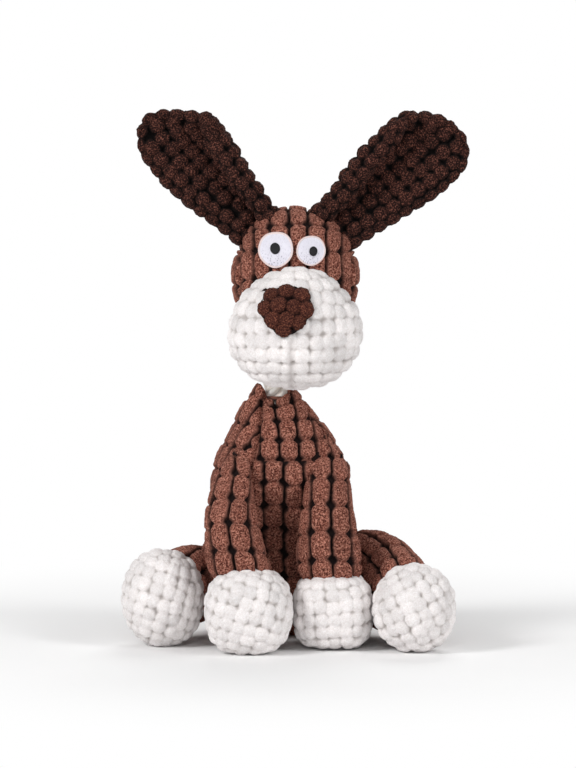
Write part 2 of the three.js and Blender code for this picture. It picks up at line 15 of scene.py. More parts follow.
import bpy
import numpy as np
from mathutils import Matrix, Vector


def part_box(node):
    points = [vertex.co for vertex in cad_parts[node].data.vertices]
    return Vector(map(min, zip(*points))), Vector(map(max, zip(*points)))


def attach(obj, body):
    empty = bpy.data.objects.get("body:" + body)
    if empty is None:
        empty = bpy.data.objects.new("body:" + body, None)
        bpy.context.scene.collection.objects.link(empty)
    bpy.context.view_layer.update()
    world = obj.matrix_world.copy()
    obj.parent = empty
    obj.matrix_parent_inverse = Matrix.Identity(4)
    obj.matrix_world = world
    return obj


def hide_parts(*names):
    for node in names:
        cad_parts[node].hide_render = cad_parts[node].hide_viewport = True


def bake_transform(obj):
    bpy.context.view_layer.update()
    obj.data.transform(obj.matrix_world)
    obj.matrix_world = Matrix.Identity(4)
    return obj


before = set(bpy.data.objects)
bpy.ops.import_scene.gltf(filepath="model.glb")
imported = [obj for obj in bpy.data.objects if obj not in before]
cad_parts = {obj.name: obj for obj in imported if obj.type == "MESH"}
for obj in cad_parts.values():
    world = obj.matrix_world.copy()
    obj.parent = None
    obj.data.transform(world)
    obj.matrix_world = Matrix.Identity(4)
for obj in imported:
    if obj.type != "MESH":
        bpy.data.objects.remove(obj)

log = logging.getLogger("dog_toy")
METRE = 0.001
COVER_WALL = 4.6
FLOOR_CLEARANCE = 0.02
BAKE_MAP = "OFBake"
HASH_PRIMES = (73856093, 19349663, 83492791)
SEED_PRIME = 2654435761
MIXING_PRIME = 1274126177
BATCH = 20000
WHITE = (1.0, 1.0, 1.0, 1.0)
FRONT = np.array([0.0, -1.0, 0.0])
RIGHT = np.array([1.0, 0.0, 0.0])
UP = np.array([0.0, 0.0, 1.0])

Point = tuple[float, float, float]
Shares = tuple[float, ...]


# Numbers


def ease(value: np.ndarray, low: float, high: float) -> np.ndarray:
    """Goes from 0 at low to 1 at high along 3t² - 2t³, flat outside."""
    part = np.clip((value - low) / (high - low), 0.0, 1.0)
    return part * part * (3.0 - 2.0 * part)


def bell(distance: np.ndarray, width: float) -> np.ndarray:
    """A bell curve that is 1 where the distance is 0: exp(-(distance / width)²)."""
    return np.exp(-((distance / width) ** 2))


def turns(count: int) -> np.ndarray:
    """A number of angles, evenly spread round a circle from 0."""
    return np.arange(count) * 2 * math.pi / count


def unit(vectors: np.ndarray) -> np.ndarray:
    """The vectors, each divided by its length."""
    return vectors / np.maximum(np.linalg.norm(vectors, axis=-1, keepdims=True), 1e-12)


def summed(steps: np.ndarray) -> np.ndarray:
    """The running total of a row of steps, from 0."""
    return np.concatenate([[0.0], np.cumsum(steps)])


def running_length(line: np.ndarray) -> np.ndarray:
    """The distance along a line of points to each of them, from 0."""
    return summed(np.linalg.norm(np.diff(line, axis=0), axis=1))


def read_line(at: np.ndarray, run: np.ndarray, line: np.ndarray) -> np.ndarray:
    """The points of a line at some distances along it, where run is its running length."""
    return np.stack([np.interp(at, run, line[:, axis]) for axis in range(3)], 1)


def smooth_through(
    places: Shares | np.ndarray, values: Shares, at: np.ndarray
) -> np.ndarray:
    """Cubic Hermite curve through known values, with the slopes of their neighbours.

    Args:
        places: Rising places of the known values.
        values: The known values.
        at: The places to read.

    Returns:
        The curve's values, held flat past either end.
    """
    places, values = np.array(places), np.array(values)
    slopes = np.gradient(values, places)
    at = np.clip(at, places[0], places[-1])
    low = np.clip(np.searchsorted(places, at, side="right") - 1, 0, len(places) - 2)
    span = places[low + 1] - places[low]
    t = (at - places[low]) / span
    return (
        values[low] * (1 + 2 * t) * (1 - t) ** 2
        + slopes[low] * span * t * (1 - t) ** 2
        + values[low + 1] * t * t * (3 - 2 * t)
        + slopes[low + 1] * span * t * t * (t - 1)
    )


def hashed(cells: np.ndarray, seed: int) -> np.ndarray:
    """Random numbers from -1 to 1 for whole-number cells: indices times primes, mixed by shifts.

    Args:
        cells: Whole numbers, three in the last axis.
        seed: Another number gives other random numbers.

    Returns:
        One number a cell.
    """
    scaled = cells * np.array(HASH_PRIMES)
    mixed = scaled[..., 0] ^ scaled[..., 1] ^ scaled[..., 2] ^ (seed * SEED_PRIME)
    mixed = (mixed ^ (mixed >> 13)) * MIXING_PRIME
    return ((mixed ^ (mixed >> 16)) & 0xFFFF) / 32767.5 - 1.0


def grain(points: np.ndarray, cell: float, seed: int) -> np.ndarray:
    """Smooth noise from -1 to 1: hashed corners of a cubic lattice, blended by 3t² - 2t³.

    Args:
        points: Places, three numbers in the last axis.
        cell: The lattice's step, in the unit of the points.
        seed: Another number gives other noise.

    Returns:
        One number a point.
    """
    scaled = points / cell
    base = np.floor(scaled).astype(np.int64)
    part = scaled - base
    near = part * part * (3.0 - 2.0 * part)
    total = np.zeros(points.shape[:-1])
    for corner in range(8):
        step = np.array([corner & 1, (corner >> 1) & 1, corner >> 2])
        total += np.where(step, near, 1.0 - near).prod(axis=-1) * hashed(base + step, seed)
    return total


def nearest(points: np.ndarray, centres: np.ndarray) -> tuple[np.ndarray, np.ndarray]:
    """Finds each point's nearest centre, from squared distances worked out in batches.

    Args:
        points: The points.
        centres: The centres, one a row.

    Returns:
        The distance from each point to its nearest centre, and that centre's number.
    """
    flat = points.reshape(-1, 3)
    distance, which = np.empty(len(flat)), np.empty(len(flat), np.int64)
    for start in range(0, len(flat), BATCH):
        part = flat[start:start + BATCH]
        squared = (
            (part ** 2).sum(1)[:, None] + (centres ** 2).sum(1)[None] - 2.0 * part @ centres.T
        )
        which[start:start + BATCH] = squared.argmin(1)
        distance[start:start + BATCH] = np.sqrt(np.maximum(squared.min(1), 0.0))
    return distance.reshape(points.shape[:-1]), which.reshape(points.shape[:-1])


def linear(colour: int, alpha: float = 1.0) -> tuple[float, float, float, float]:
    """A colour written as 0xRRGGBB, in Blender's linear numbers.

    Args:
        colour: The colour as the eye sees it.
        alpha: How much of it covers.

    Returns:
        Its red, green, blue and alpha.
    """
    shares = [((colour >> shift) & 255) / 255.0 for shift in (16, 8, 0)]
    red, green, blue = (c / 12.92 if c <= 0.04045 else ((c + 0.055) / 1.055) ** 2.4 for c in shares)
    return (red, green, blue, alpha)


# Surfaces


@dataclass
class Skin:
    """A closed surface: rings of points in millimetres, and a point that closes each end.

    Column 0 runs down the middle of the face, and columns rise toward the toy's right.
    """

    rings: np.ndarray
    ends: np.ndarray

    @classmethod
    def closed(cls, rings: np.ndarray) -> "Skin":
        """The skin of some rings, whose ends are the middles of the first and the last."""
        return cls(rings, np.stack([rings[0].mean(0), rings[-1].mean(0)]))

    def normals(self) -> np.ndarray:
        """The normals, as the cross product of the steps round and along the rings.

        Returns:
            Outward unit normals, one a ring point.
        """
        around = np.roll(self.rings, -1, 1) - np.roll(self.rings, 1, 1)
        caps = [np.broadcast_to(end, self.rings[0].shape)[None] for end in self.ends]
        rows = np.concatenate([caps[0], self.rings, caps[1]])
        found = unit(np.cross(around, rows[2:] - rows[:-2]))
        outward = ((self.rings - self.rings.mean((0, 1))) * found).sum()
        return found if outward > 0 else -found

    def girths(self) -> tuple[np.ndarray, np.ndarray]:
        """Measures round each ring.

        Returns:
            The running length from column 0, with a last closing entry, and the whole girth.
        """
        closed = np.concatenate([self.rings, self.rings[:, :1]], axis=1)
        steps = np.linalg.norm(np.diff(closed, axis=1), axis=-1)
        run = np.concatenate([np.zeros((len(steps), 1)), np.cumsum(steps, 1)], axis=1)
        return run, run[:, -1]

    def across(self) -> tuple[np.ndarray, np.ndarray]:
        """Measures round each ring to both sides.

        Returns:
            The signed distance from column 0, and each ring's girth as a column.
        """
        run, girth = self.girths()
        run, girth = run[:, :-1], girth[:, None]
        return np.where(run > girth / 2, run - girth, run), girth

    def along(self) -> np.ndarray:
        """Mean distance of each ring from the first, measured over the surface, as a column."""
        return summed(np.linalg.norm(np.diff(self.rings, axis=0), axis=-1).mean(1))[:, None]

    def lattice(self, pitch: float, rise: float, shift: float, stray: float) -> np.ndarray:
        """Evenly spread places on the skin, for the middles of pile bubbles.

        Rows of places lie one rise apart along the skin. In each row the places lie one pitch
        apart round the ring, counted from column 0, so that the columns stand upright there.
        A place that would crowd its neighbour opposite column 0 is left out.

        Args:
            pitch: The distance between places in a row.
            rise: The distance between rows.
            shift: The share of a pitch by which all rows are shifted.
            stray: How far a place may stray from its own, along each axis.

        Returns:
            The places, three numbers each.
        """
        run, total = self.girths()
        closed = np.concatenate([self.rings, self.rings[:, :1]], axis=1)
        along = self.along()[:, 0]
        crowded = 0.22 * pitch
        places = [self.ends]
        for level in np.arange(rise / 2, along[-1], rise):
            over = min(int(np.searchsorted(along, level)), len(along) - 1)
            low = max(over - 1, 0)
            part = (level - along[low]) / max(along[over] - along[low], 1e-9)
            ring = closed[low] * (1 - part) + closed[over] * part
            length = total[low] * (1 - part) + total[over] * part
            steps = run[low] / max(total[low], 1e-9) * length
            count = int(length / 2 / pitch) + 1
            found = (np.arange(-count, count + 1) + shift) * pitch
            found = found[np.abs(found) < length / 2 - crowded] % length
            places.append(read_line(found, steps, ring))
        spread = np.concatenate(places)
        number = np.arange(len(spread))
        strays = [
            hashed(np.stack([number, number, number + axis], -1), 3 + axis) for axis in range(3)
        ]
        return spread + stray * np.stack(strays, -1)

    def lumpy(self, height: float = 0.8, size: float = 21.0, seed: int = 17) -> np.ndarray:
        """Soft unevenness of a stuffed piece: noise with a height and a size."""
        return height * grain(self.rings, size, seed)

    def moved(self, distance: np.ndarray) -> "Skin":
        """The skin with each point moved along its normal, and its ends set among their rings."""
        return Skin.closed(self.rings + self.normals() * distance[..., None])

    def lining(self) -> "Skin":
        """The skin moved in by the cover's wall, where the filling starts."""
        return self.moved(np.array(-COVER_WALL))

    def drawn_in(self, wall: float, start: float) -> "Skin":
        """The skin with its rings shrunk by a wall about their middles, and its ends left off.

        Args:
            wall: The cover's wall.
            start: The length left off at the first end.

        Returns:
            The smaller skin.
        """
        middle = self.rings.mean(1, keepdims=True)
        reach = np.linalg.norm(self.rings - middle, axis=-1, keepdims=True)
        rings = middle + (self.rings - middle) * np.clip(1 - wall / np.maximum(reach, 1e-6), 0.1, 1)
        run = self.along()[:, 0]
        return Skin.closed(rings[(run > start) & (run < run[-1] - wall)])

    def thinned(self, step: int) -> "Skin":
        """The skin with every step-th ring and column kept."""
        return Skin(self.rings[::step, ::step], self.ends)

    def faces(self) -> tuple[np.ndarray, np.ndarray, np.ndarray]:
        """Joins the points, with a fan of triangles at each end.

        Returns:
            The quads, the triangles, and the bake map's place of every corner.
        """
        rows, columns = self.rings.shape[:2]
        index = np.arange(rows * columns).reshape(rows, columns)
        beside = np.roll(index, -1, 1)
        quads = np.stack([index[:-1], beside[:-1], beside[1:], index[1:]], -1).reshape(-1, 4)
        first, last = np.full(columns, rows * columns), np.full(columns, rows * columns + 1)
        triangles = np.concatenate([
            np.stack([first, beside[0], index[0]], 1), np.stack([last, index[-1], beside[-1]], 1)
        ])
        i, j = np.meshgrid(np.arange(columns), np.arange(rows - 1))
        corners = [(i, j), (i + 1, j), (i + 1, j + 1), (i, j + 1)]
        turn = np.arange(columns)
        low, high = np.full(columns, -1.0), np.full(columns, float(rows))
        fans = [
            [(turn + 0.5, low), (turn + 1, low + 1), (turn, low + 1)],
            [(turn + 0.5, high), (turn, high - 1), (turn + 1, high - 1)],
        ]
        stacked = [np.stack([np.stack(c, -1) for c in corners], 2).reshape(-1, 2)]
        stacked += [np.stack([np.stack(c, -1) for c in fan], 1).reshape(-1, 2) for fan in fans]
        places = (np.concatenate(stacked) + [0.0, 1.0]) / [columns, rows + 1.0]
        return quads, triangles, places


def volume_of(points: np.ndarray, faces: np.ndarray) -> float:
    """Signed volume under a set of faces, as fans of tetrahedra to the origin."""
    corners = [points[faces[:, k]] for k in range(faces.shape[1])]
    return sum(
        float((corners[0] * np.cross(corners[k], corners[k + 1])).sum()) / 6.0
        for k in range(1, faces.shape[1] - 1)
    )


def mesh_object(
    name: str,
    points: np.ndarray,
    quads: np.ndarray,
    triangles: np.ndarray | None = None,
    places: np.ndarray | None = None,
    marks: dict[str, np.ndarray] | None = None,
) -> bpy.types.Object:
    """Puts arrays into a new smooth mesh object, with its faces outward.

    Args:
        name: The piece's name.
        points: Vertices in millimetres.
        quads: Vertex numbers of the four-sided faces.
        triangles: Vertex numbers of the three-sided faces.
        places: The bake map's place of each corner, quads first.
        marks: Number attributes, one number a vertex.

    Returns:
        The object, at the origin, linked to the scene.
    """
    triangles = np.empty((0, 3), np.int64) if triangles is None else triangles
    turned = volume_of(points, quads) + volume_of(points, triangles) < 0
    loops = np.concatenate([
        (f[:, ::-1] if turned else f).reshape(-1) for f in (quads, triangles)
    ])
    starts = np.concatenate([
        np.arange(len(quads)) * 4, len(quads) * 4 + np.arange(len(triangles)) * 3
    ])
    mesh = bpy.data.meshes.new(name)
    mesh.vertices.add(len(points))
    mesh.vertices.foreach_set("co", (points * METRE).astype(np.float32).ravel())
    mesh.loops.add(len(loops))
    mesh.loops.foreach_set("vertex_index", loops.astype(np.int32))
    mesh.polygons.add(len(starts))
    mesh.polygons.foreach_set("loop_start", starts.astype(np.int32))
    mesh.polygons.foreach_set("use_smooth", np.ones(len(starts), bool))
    mesh.update(calc_edges=True)
    if places is not None:
        if turned:
            split = len(quads) * 4
            places = np.concatenate([
                places[:split].reshape(-1, 4, 2)[:, ::-1].reshape(-1, 2),
                places[split:].reshape(-1, 3, 2)[:, ::-1].reshape(-1, 2),
            ])
        layer = mesh.uv_layers.new(name=BAKE_MAP)
        layer.uv.foreach_set("vector", places.astype(np.float32).ravel())
    for mark, values in (marks or {}).items():
        attribute = mesh.attributes.new(mark, "FLOAT", "POINT")
        attribute.data.foreach_set("value", values.astype(np.float32).ravel())
    piece = bpy.data.objects.new(name, mesh)
    bpy.context.scene.collection.objects.link(piece)
    return piece


def skin_object(name: str, skin: Skin, marks: dict[str, np.ndarray] | None = None) -> bpy.types.Object:
    """Makes a mesh object of a skin.

    Args:
        name: The piece's name.
        skin: The skin.
        marks: Number attributes, one number a ring point, averaged at the ends.

    Returns:
        The object.
    """
    points = np.concatenate([skin.rings.reshape(-1, 3), skin.ends])
    full = {
        mark: np.concatenate([values.ravel(), [values[0].mean(), values[-1].mean()]])
        for mark, values in (marks or {}).items()
    }
    quads, triangles, places = skin.faces()
    return mesh_object(name, points, quads, triangles, places, full)


def tube_rings(path: np.ndarray, radius: np.ndarray, sides: int, toward: np.ndarray) -> np.ndarray:
    """Rings of a tube: circles across a path, their first point turned toward a direction.

    Args:
        path: The tube's middle line.
        radius: The tube's radius at each place of the path, or at each point of each ring.
        sides: The points in a ring.
        toward: The direction of each ring's first point, before it is squared to the path.

    Returns:
        The rings, one for each place of the path.
    """
    tangent = unit(np.gradient(path, axis=0))
    first = unit(toward - (toward * tangent).sum(-1, keepdims=True) * tangent)
    second = np.cross(tangent, first)
    angle = turns(sides)[None, :, None]
    spread = np.broadcast_to(np.reshape(radius, (len(path), -1)), (len(path), sides))[..., None]
    return path[:, None] + spread * (
        first[:, None] * np.cos(angle) + second[:, None] * np.sin(angle)
    )


def ball_skin(
    centre: Point,
    half: Point,
    rows: int,
    columns: int,
    lay: float = 0.0,
    fullness: float = 2.0,
    taper: float = 0.0,
) -> Skin:
    """A stuffed ball: |x/a|^p + |y/b|^p + |z/c|^p = 1, its girth falling as it rises.

    Args:
        centre: The ball's middle.
        half: Its half width, half depth and half height.
        rows: Rings between its ends.
        columns: Points in a ring.
        lay: The angle in radians by which its rings are turned about the front direction.
        fullness: The power p. 2 is an ellipsoid, and more is boxier.
        taper: The share by which its girth falls at the top and grows at the bottom.

    Returns:
        The skin, from its upper end to its lower one.
    """
    fall = (np.arange(1, rows + 1) * math.pi / (rows + 1))[:, None]
    turn = turns(columns)[None]
    straight = np.stack(
        [np.sin(fall) * np.sin(turn), -np.sin(fall) * np.cos(turn), np.cos(fall) + 0 * turn], -1
    )
    ways = np.concatenate([straight.reshape(-1, 3), [[0, 0, 1], [0, 0, -1]]])
    turned = np.array([
        [math.cos(lay), 0, math.sin(lay)], [0, 1, 0], [-math.sin(lay), 0, math.cos(lay)]
    ])
    ways = ways @ turned.T
    ways = ways / (np.abs(ways) ** fullness).sum(-1, keepdims=True) ** (1 / fullness)
    ways[:, :2] *= 1 - taper * ways[:, 2:3]
    points = centre + ways * half
    return Skin(points[:-2].reshape(rows, columns, 3), points[-2:])


def patch_grid(
    rows: int, columns: int, front_share: float
) -> tuple[np.ndarray, np.ndarray, np.ndarray]:
    """The grid of a flat patch: its front from the middle out, then its back to the middle again.

    Args:
        rows: Rings between the two middles.
        columns: Points in a ring.
        front_share: The share of the rings that lie on the front.

    Returns:
        The angle of each column, each row's distance out as a share, and whether it is in front.
    """
    place = (np.arange(1, rows + 1) / (rows + 1))[:, None]
    front = place < front_share
    out = np.where(front, place / front_share, (1 - place) / (1 - front_share))
    return turns(columns)[None], out, front


# Pile


@dataclass
class Cut:
    """Where each point of a skin lies on the flat fabric that it was cut from, in millimetres."""

    across: np.ndarray
    along: np.ndarray
    panel: np.ndarray
    seam: np.ndarray


def fibre_ends(points: np.ndarray, seed: int) -> np.ndarray:
    """The fine unevenness of cut fibres: noise of 1.1 mm, and weaker noise of 0.62 mm."""
    return grain(points, 1.1, seed + 3) + 0.8 * grain(points, 0.62, seed + 4)


@dataclass
class Relief:
    """How pile stands on a skin: its height, and what its colours follow, per point."""

    height: np.ndarray
    cover: np.ndarray
    # Where the finishes paint shade and sheen on the pile's sides.
    flank: np.ndarray
    tint: np.ndarray

    def marks(self) -> dict[str, np.ndarray]:
        """The attributes that the pile finishes read."""
        return {"cover": self.cover, "flank": self.flank, "tint": self.tint}


@dataclass(frozen=True)
class BlockPile:
    """Cut pile in long blocks, in columns with a bare line between them.

    Each block is an octagon with a steep flank and a crowned top, so a bare diamond shows where
    four blocks meet.
    """

    width: float = 10.5
    length: float = 13.6
    tall: float = 3.1
    line: float = 0.5
    corner: float = 2.0
    corner_slope: float = 0.72
    corner_scale: float = 1.23
    flank: float = 1.1
    proud: float = 0.4
    stray: float = 0.9
    crease: float = 0.62
    crease_reach: float = 1.9
    side_crown: float = 0.13
    end_crown: float = 0.1
    seam_reach: float = 2.4
    sway: float = 0.45
    sway_size: float = 6.0
    drift: float = 0.6
    drift_size: float = 7.0
    frayed: float = 0.3
    uneven: float = 0.09
    fuzz: float = 0.2

    def relief(self, cut: Cut, points: np.ndarray, seed: int) -> Relief:
        """The pile over a cut fabric.

        The distance inside a block is the least of the distances to its long sides and to its
        four cut corners. The height rises with 1 - (1 - distance / flank)³, and sinks where a
        block meets the next one in its column and where it meets a seam.

        Args:
            cut: Where the points lie on the flat fabric.
            points: The points themselves, which the noise follows.
            seed: Another number gives other noise.

        Returns:
            The relief.
        """
        across = cut.across + self.sway * grain(points, self.sway_size, seed)
        along = cut.along + self.drift * grain(points, self.drift_size, seed + 1)
        column = np.floor(across / self.width).astype(np.int64)
        lane = np.stack([column, cut.panel.astype(np.int64), 0 * column], -1)
        along = along + self.stray * hashed(lane, seed)
        row = np.floor(along / self.length).astype(np.int64)
        side = np.abs(across - (column + 0.5) * self.width)
        end = np.abs(along - (row + 0.5) * self.length)
        cells = np.stack([column, row, cut.panel.astype(np.int64)], -1)
        chance = hashed(cells, seed)
        half_width = (self.width - self.line) / 2 + 0.15 * chance
        half_length = self.length / 2
        frayed = self.frayed * grain(points, 1.3, seed + 2)
        to_side = half_width - side
        to_end = half_length - end
        to_corner = (to_side + self.corner_slope * to_end - self.corner) / self.corner_scale
        inside = np.minimum(to_side, to_corner) + frayed
        rise = 1 - (1 - np.clip(inside / self.flank, 0, 1)) ** 3
        crease = 1 - self.crease * (1 - np.clip(to_end / self.crease_reach, 0, 1)) ** 2
        crown = 1 - self.side_crown * (side / half_width) ** 2 - self.end_crown * (end / half_length) ** 2
        sewn = 0.3 + 0.7 * ease(cut.seam, 0.2, self.seam_reach)
        tall = self.tall * (1 + self.uneven * chance)
        fuzz = self.fuzz * fibre_ends(points, seed)
        height = tall * rise * crease * crown * sewn + rise * fuzz
        cover = ease(inside, 0.1, 0.8) * ease(cut.seam, -0.6, 0.9)
        # Painted shade and sheen: 1 on a block's sides, where the finish mixes in its flank colour.
        flank = 1 - ease(inside, 0.6, 1.7)
        return Relief(height - self.tall + self.proud, cover, flank, chance)


@dataclass(frozen=True)
class BubblePile:
    """Cut pile in round bubbles, with a dimple where four of them meet."""

    pitch: float = 7.2
    rise: float = 8.1
    reach: float = 0.665
    tall: float = 2.8
    proud: float = 0.3
    uneven: float = 0.1
    fuzz: float = 0.2

    def relief(self, points: np.ndarray, centres: np.ndarray, seed: int) -> Relief:
        """The pile over points, from the middles of its bubbles.

        A bubble is the upper part of a ball: the root of 1 - (distance / reach)², where distance
        is the distance to the nearest middle.

        Args:
            points: The points.
            centres: The middles of the bubbles.
            seed: Another number gives other noise.

        Returns:
            The relief.
        """
        distance, which = nearest(points, centres)
        chance = hashed(np.stack([which, which * 0, which * 0 + 7], -1), seed)
        distance = distance + 0.3 * grain(points, 1.5, seed + 2)
        reach = (self.pitch + self.rise) / 2 * self.reach * (1 + 0.05 * chance)
        dome = np.sqrt(np.clip(1 - (distance / reach) ** 2, 0, 1))
        tall = self.tall * (1 + self.uneven * chance)
        fuzz = self.fuzz * fibre_ends(points, seed)
        height = tall * dome + fuzz * ease(dome, 0, 0.4)
        cover = ease(reach - distance, -0.1, 1.1)
        # Painted shade: 1 on a bubble's sides and in the dimples between, where the finish mixes in its
        # flank colour.
        flank = 1 - ease(dome, 0.35, 0.85)
        return Relief(height - self.tall + self.proud, cover, flank, chance)


# Shader boards


class Wire:
    """One value on a shader board. The arithmetic operators add Math nodes to the board."""

    def __init__(self, board: "Board", socket: bpy.types.NodeSocket) -> None:
        """Wraps a node's output socket."""
        self.board = board
        self.socket = socket

    def maths(self, operation: str, first: "Feed", second: "Feed") -> "Wire":
        """A Math node of the named operation on two values."""
        node = self.board.add("ShaderNodeMath", {"operation": operation}, {0: first, 1: second})
        return Wire(self.board, node.outputs[0])

    def __add__(self, other: "Feed") -> "Wire":
        """The sum."""
        return self.maths("ADD", self, other)

    def __radd__(self, other: "Feed") -> "Wire":
        """The sum, with the number first."""
        return self.maths("ADD", other, self)

    def __sub__(self, other: "Feed") -> "Wire":
        """The difference."""
        return self.maths("SUBTRACT", self, other)

    def __rsub__(self, other: "Feed") -> "Wire":
        """The difference, with the number first."""
        return self.maths("SUBTRACT", other, self)

    def __mul__(self, other: "Feed") -> "Wire":
        """The product."""
        return self.maths("MULTIPLY", self, other)

    def __rmul__(self, other: "Feed") -> "Wire":
        """The product, with the number first."""
        return self.maths("MULTIPLY", other, self)

    def sine(self) -> "Wire":
        """The sine."""
        return self.maths("SINE", self, 0.0)

    def eased(self, low: float, high: float) -> "Wire":
        """Goes from 0 at low to 1 at high, smoothly, flat outside."""
        node = self.board.add(
            "ShaderNodeMapRange",
            {"interpolation_type": "SMOOTHSTEP"},
            {"Value": self, "From Min": low, "From Max": high},
        )
        return Wire(self.board, node.outputs[0])


Feed = Wire | float | tuple


class Board:
    """A node tree, of a material or of the world, to which nodes are added."""

    def __init__(self, tree: bpy.types.NodeTree) -> None:
        """Takes a tree that has its first nodes."""
        self.tree = tree

    def find(self, kind: str) -> bpy.types.Node:
        """The tree's own node of a type."""
        return next(node for node in self.tree.nodes if node.type == kind)

    def join(self, value: Wire, node: bpy.types.Node, socket: str | int) -> None:
        """Links a value to a node's socket."""
        self.tree.links.new(value.socket, node.inputs[socket])

    def add(
        self, kind: str, settings: dict | None = None, inputs: dict[str | int, Feed] | None = None
    ) -> bpy.types.Node:
        """Adds any node.

        Args:
            kind: The node's type.
            settings: Its settings, set first. "stops" are a ramp's (place, colour) pairs.
            inputs: Its sockets, by name or number, each a wire or a constant.

        Returns:
            The node.
        """
        node = self.tree.nodes.new(kind)
        for key, value in (settings or {}).items():
            if key == "stops":
                elements = node.color_ramp.elements
                for _ in range(len(value) - len(elements)):
                    elements.new(0.5)
                for element, (place, colour) in zip(elements, value):
                    element.position, element.color = place, colour
            else:
                setattr(node, key, value)
        for key, value in (inputs or {}).items():
            if isinstance(value, Wire):
                self.join(value, node, key)
            else:
                node.inputs[key].default_value = value
        return node

    def place(self) -> Wire:
        """The Object coordinates, in metres."""
        return Wire(self, self.add("ShaderNodeTexCoord").outputs["Object"])

    def mark(self, name: str) -> Wire:
        """A number attribute of the mesh."""
        node = self.add("ShaderNodeAttribute", {"attribute_name": name})
        return Wire(self, node.outputs["Fac"])

    def noise(self, where: Wire, size: float, detail: float = 2.0) -> Wire:
        """Noise from 0 to 1 whose features have a size in metres."""
        node = self.add(
            "ShaderNodeTexNoise", {}, {"Vector": where, "Scale": 1.0 / size, "Detail": detail}
        )
        return Wire(self, node.outputs[0])

    def ramp(self, value: Wire, stops: list[tuple[float, tuple]]) -> Wire:
        """A colour ramp."""
        node = self.add("ShaderNodeValToRGB", {"stops": stops}, {"Fac": value})
        return Wire(self, node.outputs[0])

    def mix(self, share: Feed, first: Feed, second: Feed, way: str = "MIX") -> Wire:
        """Two colours mixed by a share."""
        node = self.add(
            "ShaderNodeMix",
            {"data_type": "RGBA", "blend_type": way},
            {0: share, 6: first, 7: second},
        )
        return Wire(self, node.outputs[2])

    def stretched(self, where: Wire, scale: Point) -> Wire:
        """A place with its axes multiplied."""
        node = self.add("ShaderNodeVectorMath", {"operation": "MULTIPLY"}, {0: where, 1: scale})
        return Wire(self, node.outputs[0])

    def seen(self) -> Wire:
        """1 for a ray that shows the background to the camera or in a gloss, and 0 for light."""
        rays = self.add("ShaderNodeLightPath")
        return Wire(self, rays.outputs["Is Camera Ray"]) + Wire(self, rays.outputs["Is Glossy Ray"])


class CoatBoard(Board):
    """The node tree of one material, with its Principled shader."""

    def __init__(self, name: str, roughness: float = 0.9, **constants: float | tuple) -> None:
        """Starts a material.

        Args:
            name: The material's name.
            roughness: The shader's roughness.
            constants: Its other constants, by socket name with _ for each space.
        """
        self.material = bpy.data.materials.new(name)
        self.material.use_nodes = True
        super().__init__(self.material.node_tree)
        self.shader = self.find("BSDF_PRINCIPLED")
        self.shader.inputs["Roughness"].default_value = roughness
        for socket, value in constants.items():
            self.shader.inputs[socket.replace("_", " ")].default_value = value

    def bump(self, height: Wire, depth: float, strength: float) -> None:
        """Feeds the shader's normal from a height whose full range is a depth in metres."""
        node = self.add(
            "ShaderNodeBump", {}, {"Height": height, "Distance": depth, "Strength": strength}
        )
        self.feed("Normal", Wire(self, node.outputs[0]))

    def feed(self, socket: str, value: Wire) -> None:
        """Links a value to the shader."""
        self.join(value, self.shader, socket)


# Finishes


@dataclass(frozen=True)
class PileFinish:
    """Cut pile: fibre ends flecked dark and light, flanks in a colour that is painted shade and sheen,
    and the bare ground fabric below, darkened as painted shade.
    """

    name: str
    slot: str
    dark: int
    middle: int
    light: int
    # The flank colour, mixed in by the share between, is painted shade on the pile's sides and in its
    # grooves, and on the brown blocks painted sheen.
    flank: int
    # The colour of the bare ground fabric, darkened as painted shade in the gaps and dimples.
    backing_and_shade: int
    fleck: float = 0.00075
    patch: float = 0.0024
    cloud: float = 0.012
    spread: float = 0.17
    sheen: float = 0.2
    depth: float = 0.0005
    between: float = 0.6
    specks: float = 0.8
    patches: float = 0.5

    def material(self) -> bpy.types.Material:
        """The pile's material, from the marks cover, flank and tint, and from fine noise.

        Returns:
            The material.
        """
        board = CoatBoard(
            self.name,
            roughness=0.95,
            Sheen_Weight=self.sheen,
            Sheen_Roughness=0.45,
            Sheen_Tint=linear(self.light),
            Specular_IOR_Level=0.15,
        )
        where = board.place()
        fine = board.noise(where, self.fleck, 3.0)
        wide = board.noise(where, self.cloud)
        tops = board.ramp(fine, [
            (0.5 - self.spread, linear(self.dark)),
            (0.5, linear(self.middle)),
            (0.5 + self.spread, linear(self.light)),
        ])
        apart = board.stretched(where, (1.2, -1.1, 1.3))
        specks = board.noise(apart, self.fleck, 1.0).eased(0.54, 0.64)
        tops = board.mix(specks * self.specks, tops, linear(self.dark))
        # Painted shade and sheen: the pile's sides take the flat flank colour.
        coat = board.mix(board.mark("flank") * self.between, tops, linear(self.flank))
        patch = board.noise(where, self.patch)
        level = board.mark("tint") * 0.07 + (wide - 0.5) * 0.3 + (patch - 0.5) * self.patches + 1.0
        coat = board.mix(1.0, coat, level, "MULTIPLY")
        # Where no pile covers, the bare ground fabric shows, its colour darkened as painted shade.
        board.feed("Base Color", board.mix(board.mark("cover"), linear(self.backing_and_shade), coat))
        board.bump(fine + board.noise(where, self.fleck * 0.45, 1.0) * 0.5, self.depth, 0.8)
        return board.material


@dataclass(frozen=True)
class StuffingFinish:
    """Fibre filling: white, matt, with soft strands."""

    name: str = "polyester_stuffing"
    slot: str = "stuffing"

    def material(self) -> bpy.types.Material:
        """The filling's material, from stretched noise.

        Returns:
            The material.
        """
        board = CoatBoard(self.name, roughness=1.0, Sheen_Weight=0.3)
        where = board.place()
        strands = board.noise(board.stretched(where, (1.0, 0.35, 2.2)), 0.0016, 4.0)
        board.feed("Base Color", board.ramp(strands, [
            (0.3, linear(0xDDDDD8)), (0.7, linear(0xFAFAF6))
        ]))
        board.bump(strands, 0.001, 0.8)
        return board.material


